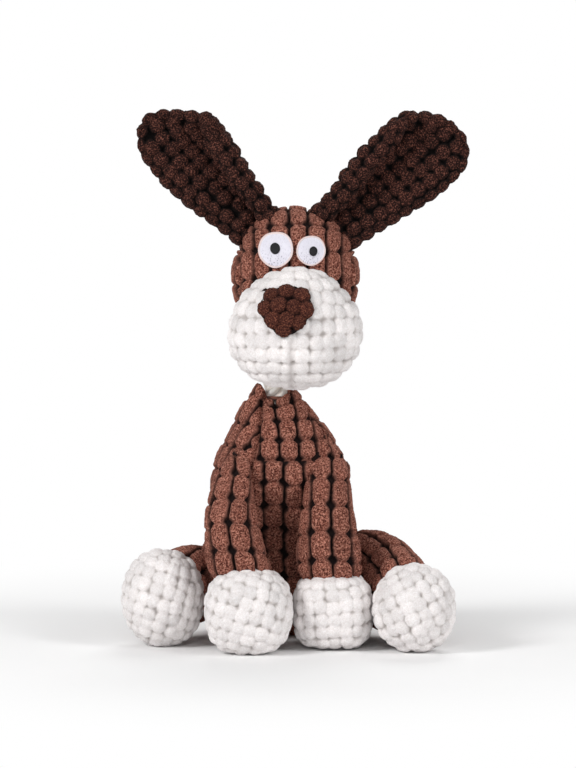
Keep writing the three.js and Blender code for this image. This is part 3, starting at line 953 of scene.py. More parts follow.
@dataclass(frozen=True)
class StitchedFinish:
    """Close embroidery: rows of thread, with small pricks where the stitches enter."""

    name: str
    slot: str
    thread: int
    prick: int
    rim: int
    row: float = 0.0008
    course: float = 2.6
    pricks: float = 0.85
    roughness: float = 0.75
    sheen: float = 0.1

    def material(self) -> bpy.types.Material:
        """The embroidery's material, on Object coordinates, from the marks rim and low.

        Returns:
            The material.
        """
        board = CoatBoard(
            self.name, roughness=self.roughness, Sheen_Weight=self.sheen, Specular_IOR_Level=0.25
        )
        where = board.place()
        node = board.add("ShaderNodeSeparateXYZ", {}, {0: where})
        side, up = Wire(board, node.outputs[0]), Wire(board, node.outputs[2])
        sway = board.noise(where, 0.004, 1.0) * 4.8
        rows = (side * (2 * math.pi / self.row) + sway).sine() * 0.5 + 0.5
        cells = board.noise(board.stretched(where, (1.6, 0.2, 1.0)), 0.00085, 1.0)
        holes = cells.eased(0.58, 0.68) * (board.mark("low") * 0.8 + 0.2) * self.pricks
        shade = board.noise(where, 0.005)
        thread = board.mix(shade * 0.25, linear(self.thread), linear(self.prick))
        thread = board.mix(holes, thread, linear(self.prick))
        board.feed("Base Color", board.mix(board.mark("rim"), thread, linear(self.rim)))
        courses = (up * (2 * math.pi / (self.row * self.course))).sine()
        board.bump(rows * 0.5 + courses * 0.12 - holes, 0.0002, 0.7)
        return board.material


@dataclass(frozen=True)
class TwistFinish:
    """Twisted cotton: yarn lines that follow the marks round and run."""

    name: str
    slot: str
    light: int
    # The colour of painted shade in the grooves between the yarns, and of darker fibres.
    dark: int
    yarns: float = 5.0
    lay: float = 700.0
    depth: float = 0.0004

    def material(self) -> bpy.types.Material:
        """The yarn's material, from its round and run marks and from fibre noise.

        Returns:
            The material.
        """
        board = CoatBoard(self.name, roughness=0.9, Sheen_Weight=0.3)
        turn = board.mark("round") * self.yarns + board.mark("run") * self.lay
        lines = turn.sine() * 0.5 + 0.5
        fibre = board.noise(board.place(), 0.0006, 3.0)
        # Painted shade: the colour darkens where the yarn lines sink, in the grooves between the yarns,
        # and varies with the fibre noise.
        board.feed("Base Color", board.ramp(lines * 0.6 + fibre * 0.4, [
            (0.15, linear(self.dark)), (0.6, linear(self.light))
        ]))
        board.bump(lines * 0.6 + fibre * 0.6, self.depth, 0.8)
        return board.material


@dataclass(frozen=True)
class PlasticFinish:
    """Moulded plastic with a slight grain."""

    name: str
    slot: str
    colour: int
    shade: int
    roughness: float = 0.4

    def material(self) -> bpy.types.Material:
        """The plastic's material, with faint cloudiness and scuffs.

        Returns:
            The material.
        """
        board = CoatBoard(self.name, roughness=self.roughness, Coat_Weight=0.1)
        where = board.place()
        cloud = board.noise(where, 0.006, 3.0)
        board.feed("Base Color", board.mix(cloud, linear(self.colour), linear(self.shade)))
        board.feed("Roughness", cloud * 0.2 + (self.roughness - 0.1))
        board.bump(board.noise(where, 0.0008), 0.00003, 0.4)
        return board.material


class Finish(Enum):
    """The finishes of the toy."""

    # Each pile's flank colour is painted shade, on the brown painted sheen as well, and its last colour,
    # for the bare ground fabric, is darkened as painted shade.
    BROWN = PileFinish(
        "brown_cut_pile", "brown_pile",
        dark=0x41201A, middle=0x8B5547, light=0xBF8774, flank=0x7A5146, backing_and_shade=0x110909,
        fleck=0.0009, between=0.75, specks=0.9,
    )
    DARK = PileFinish(
        "dark_cut_pile", "dark_pile",
        dark=0x110807, middle=0x2E1713, light=0x76493D, flank=0x0E0605, backing_and_shade=0x040202,
        sheen=0.04, between=0.92, specks=0.9,
    )
    NOSE = PileFinish(
        "nose_cut_pile", "nose_pile",
        dark=0x2A1310, middle=0x4B2820, light=0x7A4938, flank=0x2A1410, backing_and_shade=0x140908,
        sheen=0.06, between=0.8,
    )
    WHITE = PileFinish(
        "white_cut_pile", "white_pile",
        dark=0xE4DEDC, middle=0xEEE9E8, light=0xF6F3F3, flank=0xE2DCDA, backing_and_shade=0xC4BDBA,
        sheen=0.05, depth=0.0004, specks=0.3, patches=0.08,
    )
    STUFFING = StuffingFinish()
    EYE = StitchedFinish("eye_embroidery", "white_felt", thread=0xEAE8F2, prick=0x8F8A9C, rim=0xE6D4D2)
    PUPIL = StitchedFinish(
        "pupil_embroidery", "black_thread", thread=0x08080B, prick=0x18181E, rim=0x0E0E12,
        row=0.0005, pricks=0.3, roughness=0.6, sheen=0.0,
    )
    ROPE = TwistFinish("cotton_rope_twist", "cotton_rope", light=0xFFFCF6, dark=0xEAE2D6)
    THREAD = TwistFinish(
        "brown_sewing_thread", "brown_thread", light=0x7A4A3A, dark=0x42261E,
        yarns=2.0, lay=4000.0, depth=0.0001,
    )
    PLASTIC = PlasticFinish("squeaker_moulding", "white_plastic", colour=0xF5F5F3, shade=0xE6E6E2)
    FILM = PlasticFinish("reed_film", "film_plastic", colour=0xD8E4EE, shade=0xC6D6E4, roughness=0.25)


class Wardrobe:
    """Makes each finish's material once, and puts it on pieces."""

    def __init__(self) -> None:
        """Starts with no material made."""
        self.made: dict[Finish, bpy.types.Material] = {}

    def dress(
        self, piece: bpy.types.Object, finish: Finish, body: str | None, *nodes: str
    ) -> bpy.types.Object:
        """Finishes a piece, hides the CAD nodes that it replaces, sets it on its body and logs it.

        Args:
            piece: The piece.
            finish: Its finish.
            body: The body that it rides on, or None where it is set on none or is a CAD node.
            nodes: The CAD nodes that it replaces.

        Returns:
            The piece.
        """
        if finish not in self.made:
            self.made[finish] = finish.value.material()
        piece.data.materials.clear()
        piece.data.materials.append(self.made[finish])
        if nodes:
            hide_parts(*nodes)
        if body:
            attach(piece, body)
        log.info("%s: %d faces, %s", piece.name, len(piece.data.polygons), finish.value.name)
        return piece


def puckers(seam: np.ndarray, deep: float = 0.9, reach: float = 1.6) -> np.ndarray:
    """How deep a cover is drawn in at some distances from its seam, as a bell curve."""
    return deep * bell(seam, reach)


def stuffing(name: str, inner: Skin, wardrobe: Wardrobe, body: str, node: str, seed: int) -> None:
    """The filling under a cover, with soft lumps.

    Args:
        name: The piece's name.
        inner: The cover's skin, drawn in by the cover's wall.
        wardrobe: What finishes it.
        body: The body that it rides on.
        node: The CAD node that it replaces.
        seed: Another number gives other lumps.
    """
    lumps = inner.lumpy(height=0.45, size=9.0, seed=seed)
    piece = skin_object(name, inner.moved(lumps).thinned(4))
    wardrobe.dress(piece, Finish.STUFFING, body, node)


# The torso


@dataclass
class Torso:
    """The seated torso: stacked ellipses that lean forward to the neck, on a flat seat."""

    wardrobe: Wardrobe
    height: float = 129.0
    width: float = 82.0
    depth: float = 78.0
    neck_lean: float = 15.0
    neck_side: float = -2.5
    floor_cut: float = 0.5
    step: float = 0.64
    columns: int = 366
    seat_rows: int = 38
    mouth_rows: int = 16
    seat_level: float = 0.45
    chest_line: float = 95.5
    chest_shift: float = -5.2
    chest_stretch: float = 1.2
    belly_shift: float = 3.2
    belly_stretch: float = 1.04
    neckline: float = 117.0
    left_seam: float = 8.5
    left_spread: float = 0.3
    right_seam: float = 24.0
    right_spread: float = 0.62
    right_limits: tuple[float, float] = (10.0, 44.0)
    hollow: float = 18.0
    hollow_width: float = 30.0
    hollow_side: float = 1.0
    undercut: float = 9.0
    mouth_drop: float = 9.0
    mouth_draw: float = 0.46
    rim_height: float = 14.0
    left_lappet: float = 5.5
    right_lappet: float = 1.0
    front_dip: float = 4.0
    pile: BlockPile = BlockPile()
    shares: tuple[Shares, ...] = (
        (0, 0.73, 0.77, 0), (0.035, 0.87, 0.89, 0), (0.1, 0.95, 0.95, 0.03),
        (0.19, 0.99, 0.99, 0.08), (0.28, 1, 1, 0.14), (0.37, 0.97, 0.98, 0.25),
        (0.465, 0.93, 0.95, 0.4), (0.56, 0.89, 0.9, 0.55), (0.66, 0.85, 0.85, 0.7),
        (0.76, 0.76, 0.76, 0.83), (0.85, 0.6, 0.6, 0.93), (0.93, 0.44, 0.43, 0.97),
        (1, 0.275, 0.28, 1),
    )

    def ring_sizes(self, level: np.ndarray) -> tuple[np.ndarray, np.ndarray, np.ndarray, np.ndarray]:
        """The torso's ellipse at a height, smooth through the known shares.

        Each of the shares holds a height, a width, a depth and a lean.

        Args:
            level: The height.

        Returns:
            Its half width, half depth, side shift and middle.
        """
        up = (level + self.floor_cut) / (self.height + self.floor_cut)
        heights, *others = zip(*self.shares)
        wide, deep, lean = (smooth_through(heights, known, up) for known in others)
        side = ease(up, 0.76, 1.0) * self.neck_side
        return wide * self.width / 2, deep * self.depth / 2, side, -lean * self.neck_lean

    def belly_hollow(self, x: np.ndarray, level: np.ndarray, wall: float = 0.0) -> np.ndarray:
        """How deep the belly is hollowed between the front legs: a flat bell curve across.

        Args:
            x: Where across.
            level: The height.
            wall: How far inside the skin. Inside it the hollow is wider and deeper.

        Returns:
            The depth.
        """
        across = np.exp(-(((x - self.hollow_side) / (self.hollow_width / 2 + wall)) ** 4))
        upper, lower = 1 - ease(level, 48.0, 90.0), 1 - ease(level, 14.0, 38.0)
        return (self.hollow * upper + self.undercut * lower + 0.5 * wall * upper) * across

    def laid(self, points: np.ndarray, sink: float, lift: np.ndarray) -> np.ndarray:
        """Points kept near the torso's side.

        Args:
            points: The points.
            sink: How far below the skin a point may lie.
            lift: How far above the skin it may lie.

        Returns:
            The points, moved level toward or away from the torso's middle where they must.
        """
        half_width, half_depth, side, middle = self.ring_sizes(points[..., 2])
        x, y = points[..., 0] - side, points[..., 1] - middle
        mean = (half_width + half_depth) / 2
        reach = np.hypot(x / half_width, y / half_depth)
        held = np.clip(reach, 1 - sink / mean, 1 + lift / mean)
        grow = np.where(points[..., 2] < self.height, held / np.maximum(reach, 0.05), 1.0)
        return np.stack([side + x * grow, middle + y * grow, points[..., 2]], -1)

    def skin(self) -> Skin:
        """The smooth skin: the seat from its middle out, the side by even steps, and the mouth.

        The mouth's rim is low at the front and stands in two lappets beside the rope, each
        a bell curve of the angle, and then turns in and down.

        Returns:
            The skin, from the seat's middle to the mouth.
        """
        levels = np.linspace(self.seat_level, self.height, 600)
        half_width, half_depth = self.ring_sizes(levels)[:2]
        run = summed(np.hypot(np.diff(levels), np.diff((half_width + half_depth) / 2)))
        side_levels = np.interp(np.arange(0, run[-1], self.step), run, levels)
        seat = np.linspace(0.03, 0.985, self.seat_rows)
        mouth = np.linspace(0.04, 1, self.mouth_rows)
        level = np.concatenate([0 * seat + self.seat_level, side_levels, 0 * mouth + self.height])
        half_width, half_depth, side, middle = self.ring_sizes(level)
        shrink = np.concatenate([seat, np.ones(len(side_levels)), 1 - self.mouth_draw * mouth])
        drop = self.mouth_drop * mouth ** 1.5
        drop = np.concatenate([np.zeros(len(level) - self.mouth_rows), drop])
        turn = turns(self.columns)[None]
        x = side[:, None] + (half_width * shrink)[:, None] * np.sin(turn)
        y = middle[:, None] - (half_depth * shrink)[:, None] * np.cos(turn)
        y = y + self.belly_hollow(x, level[:, None]) * shrink[:, None] * (np.cos(turn) > 0)
        rim = ease(level, self.height - self.rim_height, self.height)[:, None]
        bearing = (turn + math.pi) % (2 * math.pi) - math.pi
        left = self.left_lappet * bell(bearing + 0.85, 0.36)
        right = self.right_lappet * bell(bearing - 0.8, 0.45)
        lift = rim * (left + right - self.front_dip * bell(bearing, 0.65))
        z = level[:, None] - drop[:, None] + lift
        last = (self.neck_side, -self.neck_lean, self.height - self.mouth_drop - 1.5)
        return Skin(np.stack([x, y, z], -1), np.array([(0.0, 0.0, self.seat_level), last]))

    def filling(self) -> Skin:
        """The filling: the torso's own ellipses, drawn in, with rounded ends.

        Returns:
            Its skin.
        """
        rows, columns, room, rounding = 180, 192, 17.0, 8.0
        level = np.linspace(COVER_WALL + 0.5, self.height - room, rows)
        half_width, half_depth, side, middle = self.ring_sizes(level)
        ends = np.clip(np.minimum(level - level[0], level[-1] - level) / rounding, 0.01, 1)
        ends = np.sqrt(1 - (1 - ends) ** 2)
        turn = turns(columns)[None]
        wide = ((half_width - COVER_WALL) * ends)[:, None] * np.sin(turn)
        deep = ((half_depth - COVER_WALL) * ends)[:, None] * np.cos(turn)
        hollow = self.belly_hollow(wide, level[:, None], COVER_WALL) * (np.cos(turn) > 0)
        y = middle[:, None] - deep + hollow * ends[:, None]
        return Skin.closed(np.stack([side[:, None] + wide, y, level[:, None] + 0 * wide], -1))

    def cut(self, skin: Skin) -> Cut:
        """The panels: a seat, a belly, a chest above it, and two sides that meet down the back.

        The seams beside the belly spread as they go down from the neckline. The fabric's lines
        are counted from the chest's lower seam on the front, and from the seat on the sides.

        Args:
            skin: The torso's skin.

        Returns:
            Where its points lie on the panels.
        """
        across, girth = skin.across()
        along = skin.along() + 0 * across
        rings = np.arange(len(skin.rings))
        seat = (rings < self.seat_rows)[:, None]
        inside = rings >= len(rings) - self.mouth_rows
        level = np.where(inside, self.height, skin.rings[:, 0, 2])[:, None]
        level = np.maximum.accumulate(level, 0) + 0 * across
        below = self.neckline - level
        left = self.left_seam + self.left_spread * below
        right = np.clip(self.right_seam + self.right_spread * below, *self.right_limits)
        front = (across > -left) & (across < right)
        belly = np.where(level > self.chest_line, 0, 1)
        panel = np.where(seat, 4, np.where(front, belly, np.where(across > 0, 2, 3)))
        from_chest = along - along[:, :1][level[:, 0] > self.chest_line][0]
        beside = (np.abs(across) - girth / 4) * np.sign(across)
        half = self.pile.width / 2
        flat_across = np.select(
            [panel == 4, panel == 0, panel == 1],
            [skin.rings[..., 0], across + self.chest_shift + half, across + self.belly_shift + half],
            beside + half,
        )
        flat_along = np.select(
            [panel == 4, panel == 0, panel == 1],
            [skin.rings[..., 1], from_chest * self.chest_stretch, from_chest * self.belly_stretch],
            along,
        )
        seam = np.minimum(np.abs(across + left), np.abs(across - right))
        seam = np.minimum(seam, girth / 2 - np.abs(across))
        seam = np.where(front, np.minimum(seam, 0.6 + np.abs(from_chest)), seam)
        rim = np.abs(along - along[self.seat_rows])
        return Cut(flat_across, flat_along, panel, np.where(seat, rim, np.minimum(seam, rim)))

    def build(self) -> None:
        """The pile skin, its filling and the closing stitch."""
        skin = self.skin()
        cut = self.cut(skin)
        relief = self.pile.relief(cut, skin.rings, 11)
        cover = skin.moved(relief.height + skin.lumpy() - puckers(cut.seam))
        cover.rings[..., 2] = np.maximum(cover.rings[..., 2], FLOOR_CLEARANCE)
        piece = skin_object("torso_skin", cover, relief.marks())
        self.wardrobe.dress(piece, Finish.BROWN, "torso", "torso_cover")
        stuffing("torso_stuffing", self.filling(), self.wardrobe, "torso", "torso_fill", 13)
        self.closing_stitch()

    def closing_stitch(
        self,
        low: float = 34.0,
        high: float = 88.0,
        reach: float = 2.6,
        count: int = 9,
        thick: float = 0.9,
        sides: int = 8,
    ) -> None:
        """The ladder stitch down the back seam: a thread that sways from side to side.

        Args:
            low: Height of its lower end.
            high: Height of its upper end.
            reach: How far it goes to either side.
            count: The stitches in it.
            thick: The thread's diameter.
            sides: The points round the thread.
        """
        place = np.linspace(0, 1, count * 14 + 1)
        level = low + (high - low) * place
        half_width, half_depth, side, middle = self.ring_sizes(level)
        sway = reach * np.cos(place * count * math.pi)
        x = np.clip(sway * 1.25, -reach, reach)
        y = middle + half_depth * np.sqrt(1 - ((x - side) / half_width) ** 2) - 1.1 * thick
        path = np.stack([x, y, level], -1)
        radius, back = np.full(len(path), thick / 2), np.broadcast_to(-FRONT, path.shape)
        rings = tube_rings(path, radius, sides, back)
        skin = Skin(rings, path[[0, -1]])
        marks = {
            "round": np.broadcast_to(turns(sides), rings.shape[:2]),
            "run": np.broadcast_to(level[:, None] * METRE, rings.shape[:2]),
        }
        piece = skin_object("back_seam_thread", skin, marks)
        self.wardrobe.dress(piece, Finish.THREAD, "torso", "back_closing_stitch")


# The head


@dataclass(frozen=True)
class Eye:
    """An eye's place from the skull's middle, its disc and its pupil.

    The disc reaches further toward its upper right by the share point.
    """

    side: float
    rise: float
    diameter: float
    pupil_size: tuple[float, float]
    pupil_place: tuple[float, float]
    point: float = 0.0


@dataclass
class Head:
    """The skull, its snout, nose and eyes."""

    wardrobe: Wardrobe
    left_eye: Eye = Eye(-10.1, 15.7, 18.0, (5.2, 5.9), (-0.2, 0.8), point=0.07)
    right_eye: Eye = Eye(8.0, 15.4, 15.2, (4.3, 5.0), (1.2, -0.3))
    centre: Point = (7.8, -17.0, 187.5)
    half: Point = (32.5, 30.0, 36.0)
    snout_centre: Point = (7.8, -51.0, 163.8)
    snout_half: Point = (34.0, 28.5, 31.3)
    snout_taper: float = 0.1
    cheek_line: float = 1.12
    cheek_start: float = 4.0
    crown_side: float = 3.5
    crown_start: float = -0.4
    mouth_side: float = -2.2
    mouth_top: float = 162.0
    mouth_width: float = 1.5
    mouth_depth: float = 1.5
    nose_side: float = 2.7
    nose_level: float = 175.4
    nose_width: float = 27.4
    nose_height: float = 27.0
    nose_thick: float = 2.6
    nose_crown: float = 1.6
    nose_sunk: float = 1.5
    nose_pinch: float = 0.2
    disc_thick: float = 1.45
    disc_crown: float = 0.25
    cord: float = 0.5
    cord_place: float = 0.94
    cord_half: float = 0.07
    cord_wraps: int = 64
    pupil_foot: float = 1.5
    pupil_edge: float = 1.7
    pupil_crown: float = 0.95
    pile: BlockPile = BlockPile(width=10.1, length=14.8)
    bubbles: BubblePile = BubblePile()
    nose_bubbles: BubblePile = BubblePile(
        pitch=8.0, rise=8.0, reach=0.64, tall=3.5, proud=1.2, fuzz=0.3
    )
    nose_spots: tuple[tuple[float, float], ...] = (
        (-7.6, 7.8), (0.6, 9.8), (8.6, 7.8), (-11.0, 0.6), (-3.4, 2.4), (4.4, 1.6), (11.2, 0.2),
        (-6.6, -5.2), (0.8, -5.0), (7.2, -6.4), (-1.4, -10.8),
    )

    def skull(self) -> None:
        """The brown skull: one panel from the brow over the crown and down the back, and two cheeks.

        A point's way from the middle gives its place on the fabric. On the panel the distance
        across is R·asin(x), and the distance along is R·angle·cos(asin(x)). On a cheek both are
        the distance from the cheek's middle, times the direction from there.
        """
        skin = ball_skin(self.centre, self.half, 172, 332)
        way = unit((skin.rings - self.centre) / self.half)
        radius = float(np.mean(self.half))
        aside = np.arcsin(way[..., 0])
        tilt = np.arctan2(way[..., 2], -way[..., 1])
        tilt = np.where(tilt < -2.2, tilt + 2 * math.pi, tilt)
        cheek = np.abs(aside) > self.cheek_line
        panel = np.where(cheek, np.where(way[..., 0] > 0, 3, 2), 0)
        out = radius * (math.pi / 2 - np.abs(aside))
        flat = unit(way[..., 1:])
        over = radius * tilt * np.cos(aside)
        across = np.where(cheek, out * flat[..., 0], radius * aside + self.crown_side)
        along = np.where(cheek, out * flat[..., 1] + self.cheek_start, over + self.crown_start)
        seam = radius * np.abs(np.abs(aside) - self.cheek_line)
        cut = Cut(across, along, panel, seam)
        relief = self.pile.relief(cut, skin.rings, 31)
        cover = skin.moved(relief.height + skin.lumpy() - puckers(seam))
        piece = skin_object("skull_skin", cover, relief.marks())
        self.wardrobe.dress(piece, Finish.BROWN, "head", "head_cover")
        stuffing("skull_stuffing", skin.lining(), self.wardrobe, "head", "head_fill", 33)

    def snout(self) -> None:
        """The white snout: a ball, fuller below, with a sewn line under the nose."""
        skin = ball_skin(self.snout_centre, self.snout_half, 168, 340, taper=self.snout_taper)
        centres = skin.lattice(self.bubbles.pitch, self.bubbles.rise, shift=0.5, stray=0.85)
        relief = self.bubbles.relief(skin.rings, centres, 41)
        below = ease(self.mouth_top - skin.rings[..., 2], 0.0, 4.0)
        below = below * (skin.rings[..., 1] < self.snout_centre[1])
        aside = skin.rings[..., 0] - (self.snout_centre[0] + self.mouth_side)
        line = bell(aside, self.mouth_width) * below
        cover = skin.moved(relief.height + skin.lumpy() - self.mouth_depth * line)
        relief.cover = relief.cover * (1 - 0.5 * line)
        piece = skin_object("snout_skin", cover, relief.marks())
        self.wardrobe.dress(piece, Finish.WHITE, "head", "snout_cover")
        stuffing("snout_stuffing", skin.lining(), self.wardrobe, "head", "snout_fill", 43)

    def snout_face(self, x: np.ndarray, z: np.ndarray) -> np.ndarray:
        """The snout's front surface: the ball's equation, solved for the depth.

        Args:
            x: Where across.
            z: The height.

        Returns:
            How far back it lies.
        """
        rise = np.clip((z - self.snout_centre[2]) / self.snout_half[2], -0.99, 0.99)
        girth = np.sqrt(1 - rise ** 2) * (1 - self.snout_taper * rise)
        off = (x - self.snout_centre[0]) / (self.snout_half[0] * girth)
        deep = girth * np.sqrt(np.maximum(1 - off ** 2, 0.0))
        return self.snout_centre[1] - self.snout_half[1] * deep

    def skull_face(self, x: np.ndarray, z: np.ndarray) -> np.ndarray:
        """The skull's front surface: the ellipsoid's equation, solved for the depth.

        Args:
            x: Where across.
            z: The height.

        Returns:
            How far back it lies.
        """
        aside, above = (x - self.centre[0]) / self.half[0], (z - self.centre[2]) / self.half[2]
        deep = np.sqrt(np.maximum(1 - aside ** 2 - above ** 2, 0.0))
        return self.centre[1] - self.half[1] * deep

    def nose(self) -> None:
        """The nose: a patch of dark bubbles that crowns over the snout, wider at its top."""
        turn, out, front = patch_grid(90, 150, 0.72)
        crown = np.where(front, 1 - out ** 3.5, 0.0)
        pinch = 1 + self.nose_pinch * np.sin(turn)
        x = self.nose_side + self.nose_width / 2 * out * np.cos(turn) * pinch
        z = self.nose_level + self.nose_height / 2 * out * np.sin(turn)
        proud = np.where(front, self.nose_thick + self.nose_crown * crown, -self.nose_sunk)
        skin = Skin.closed(np.stack([x, self.snout_face(x, z) - proud, z], -1))
        spot_x, spot_z = (np.array(self.nose_spots) + (self.nose_side, self.nose_level)).T
        spot_y = self.snout_face(spot_x, spot_z) - self.nose_thick - self.nose_crown / 2
        centres = np.stack([spot_x, spot_y, spot_z], -1)
        relief = self.nose_bubbles.relief(skin.rings, centres, 51)
        cover = skin.moved(np.where(front, relief.height, 0.0))
        piece = skin_object("nose_skin", cover, relief.marks())
        self.wardrobe.dress(piece, Finish.NOSE, "head", "nose_patch")

    def disc(self, name: str, eye: Eye) -> None:
        """An eye's embroidered disc on the skull, with a corded rim and a slightly wavy outline.

        Args:
            name: The eye's name.
            eye: The eye.
        """
        turn, out, front = patch_grid(64, 120, 0.75)
        bead = np.sqrt(np.clip(1 - ((out - self.cord_place) / self.cord_half) ** 2, 0, 1))
        wave = 1 + 0.012 * np.sin(turn * 5 + eye.rise) + 0.008 * np.sin(turn * 3)
        wave = wave + eye.point * np.maximum(np.cos(turn - 0.8), 0) ** 4
        x = self.centre[0] + eye.side + eye.diameter / 2 * out * np.cos(turn) * wave
        z = self.centre[2] + eye.rise + eye.diameter / 2 * out * np.sin(turn) * wave
        wraps = 0.08 * bead * np.sin(turn * self.cord_wraps)
        crown = self.disc_thick + self.disc_crown * (1 - out ** 2)
        proud = np.where(front, crown + self.cord * bead + wraps, 0.3)
        skin = Skin.closed(np.stack([x, self.skull_face(x, z) - proud, z], -1))
        marks = {
            "rim": np.broadcast_to(ease(out, 0.86, 0.9), x.shape),
            "low": ease(-out * np.sin(turn), -0.1, 0.6),
        }
        piece = skin_object(f"{name}_eye_embroidery", skin, marks)
        self.wardrobe.dress(piece, Finish.EYE, "head", f"{name}_eye_disc")

    def pupil(self, name: str, eye: Eye) -> None:
        """An eye's black pupil: a raised ellipse on the disc, with rounded edges.

        Args:
            name: The eye's name.
            eye: The eye.
        """
        turn, out, front = patch_grid(24, 48, 0.7)
        wide, high = eye.pupil_size
        beside, over = eye.pupil_place
        x = self.centre[0] + eye.side + beside + wide / 2 * out * np.cos(turn)
        z = self.centre[2] + eye.rise + over + high / 2 * out * np.sin(turn)
        crown = self.pupil_crown * np.sqrt(np.clip(1 - out ** 4, 0, 1))
        proud = np.where(front, self.pupil_edge + crown, self.pupil_foot)
        skin = Skin.closed(np.stack([x, self.skull_face(x, z) - proud, z], -1))
        marks = {"rim": np.zeros(x.shape), "low": np.ones(x.shape)}
        piece = skin_object(f"{name}_pupil_embroidery", skin, marks)
        self.wardrobe.dress(piece, Finish.PUPIL, "head", f"{name}_pupil")

    def build(self) -> None:
        """All the pieces of the head."""
        self.skull()
        self.snout()
        self.nose()
        for name, eye in (("left", self.left_eye), ("right", self.right_eye)):
            self.disc(name, eye)
            self.pupil(name, eye)


# The ears


class EarSide(Enum):
    """Which ear, and the way its length leans from the middle."""

    LEFT = -1
    RIGHT = 1


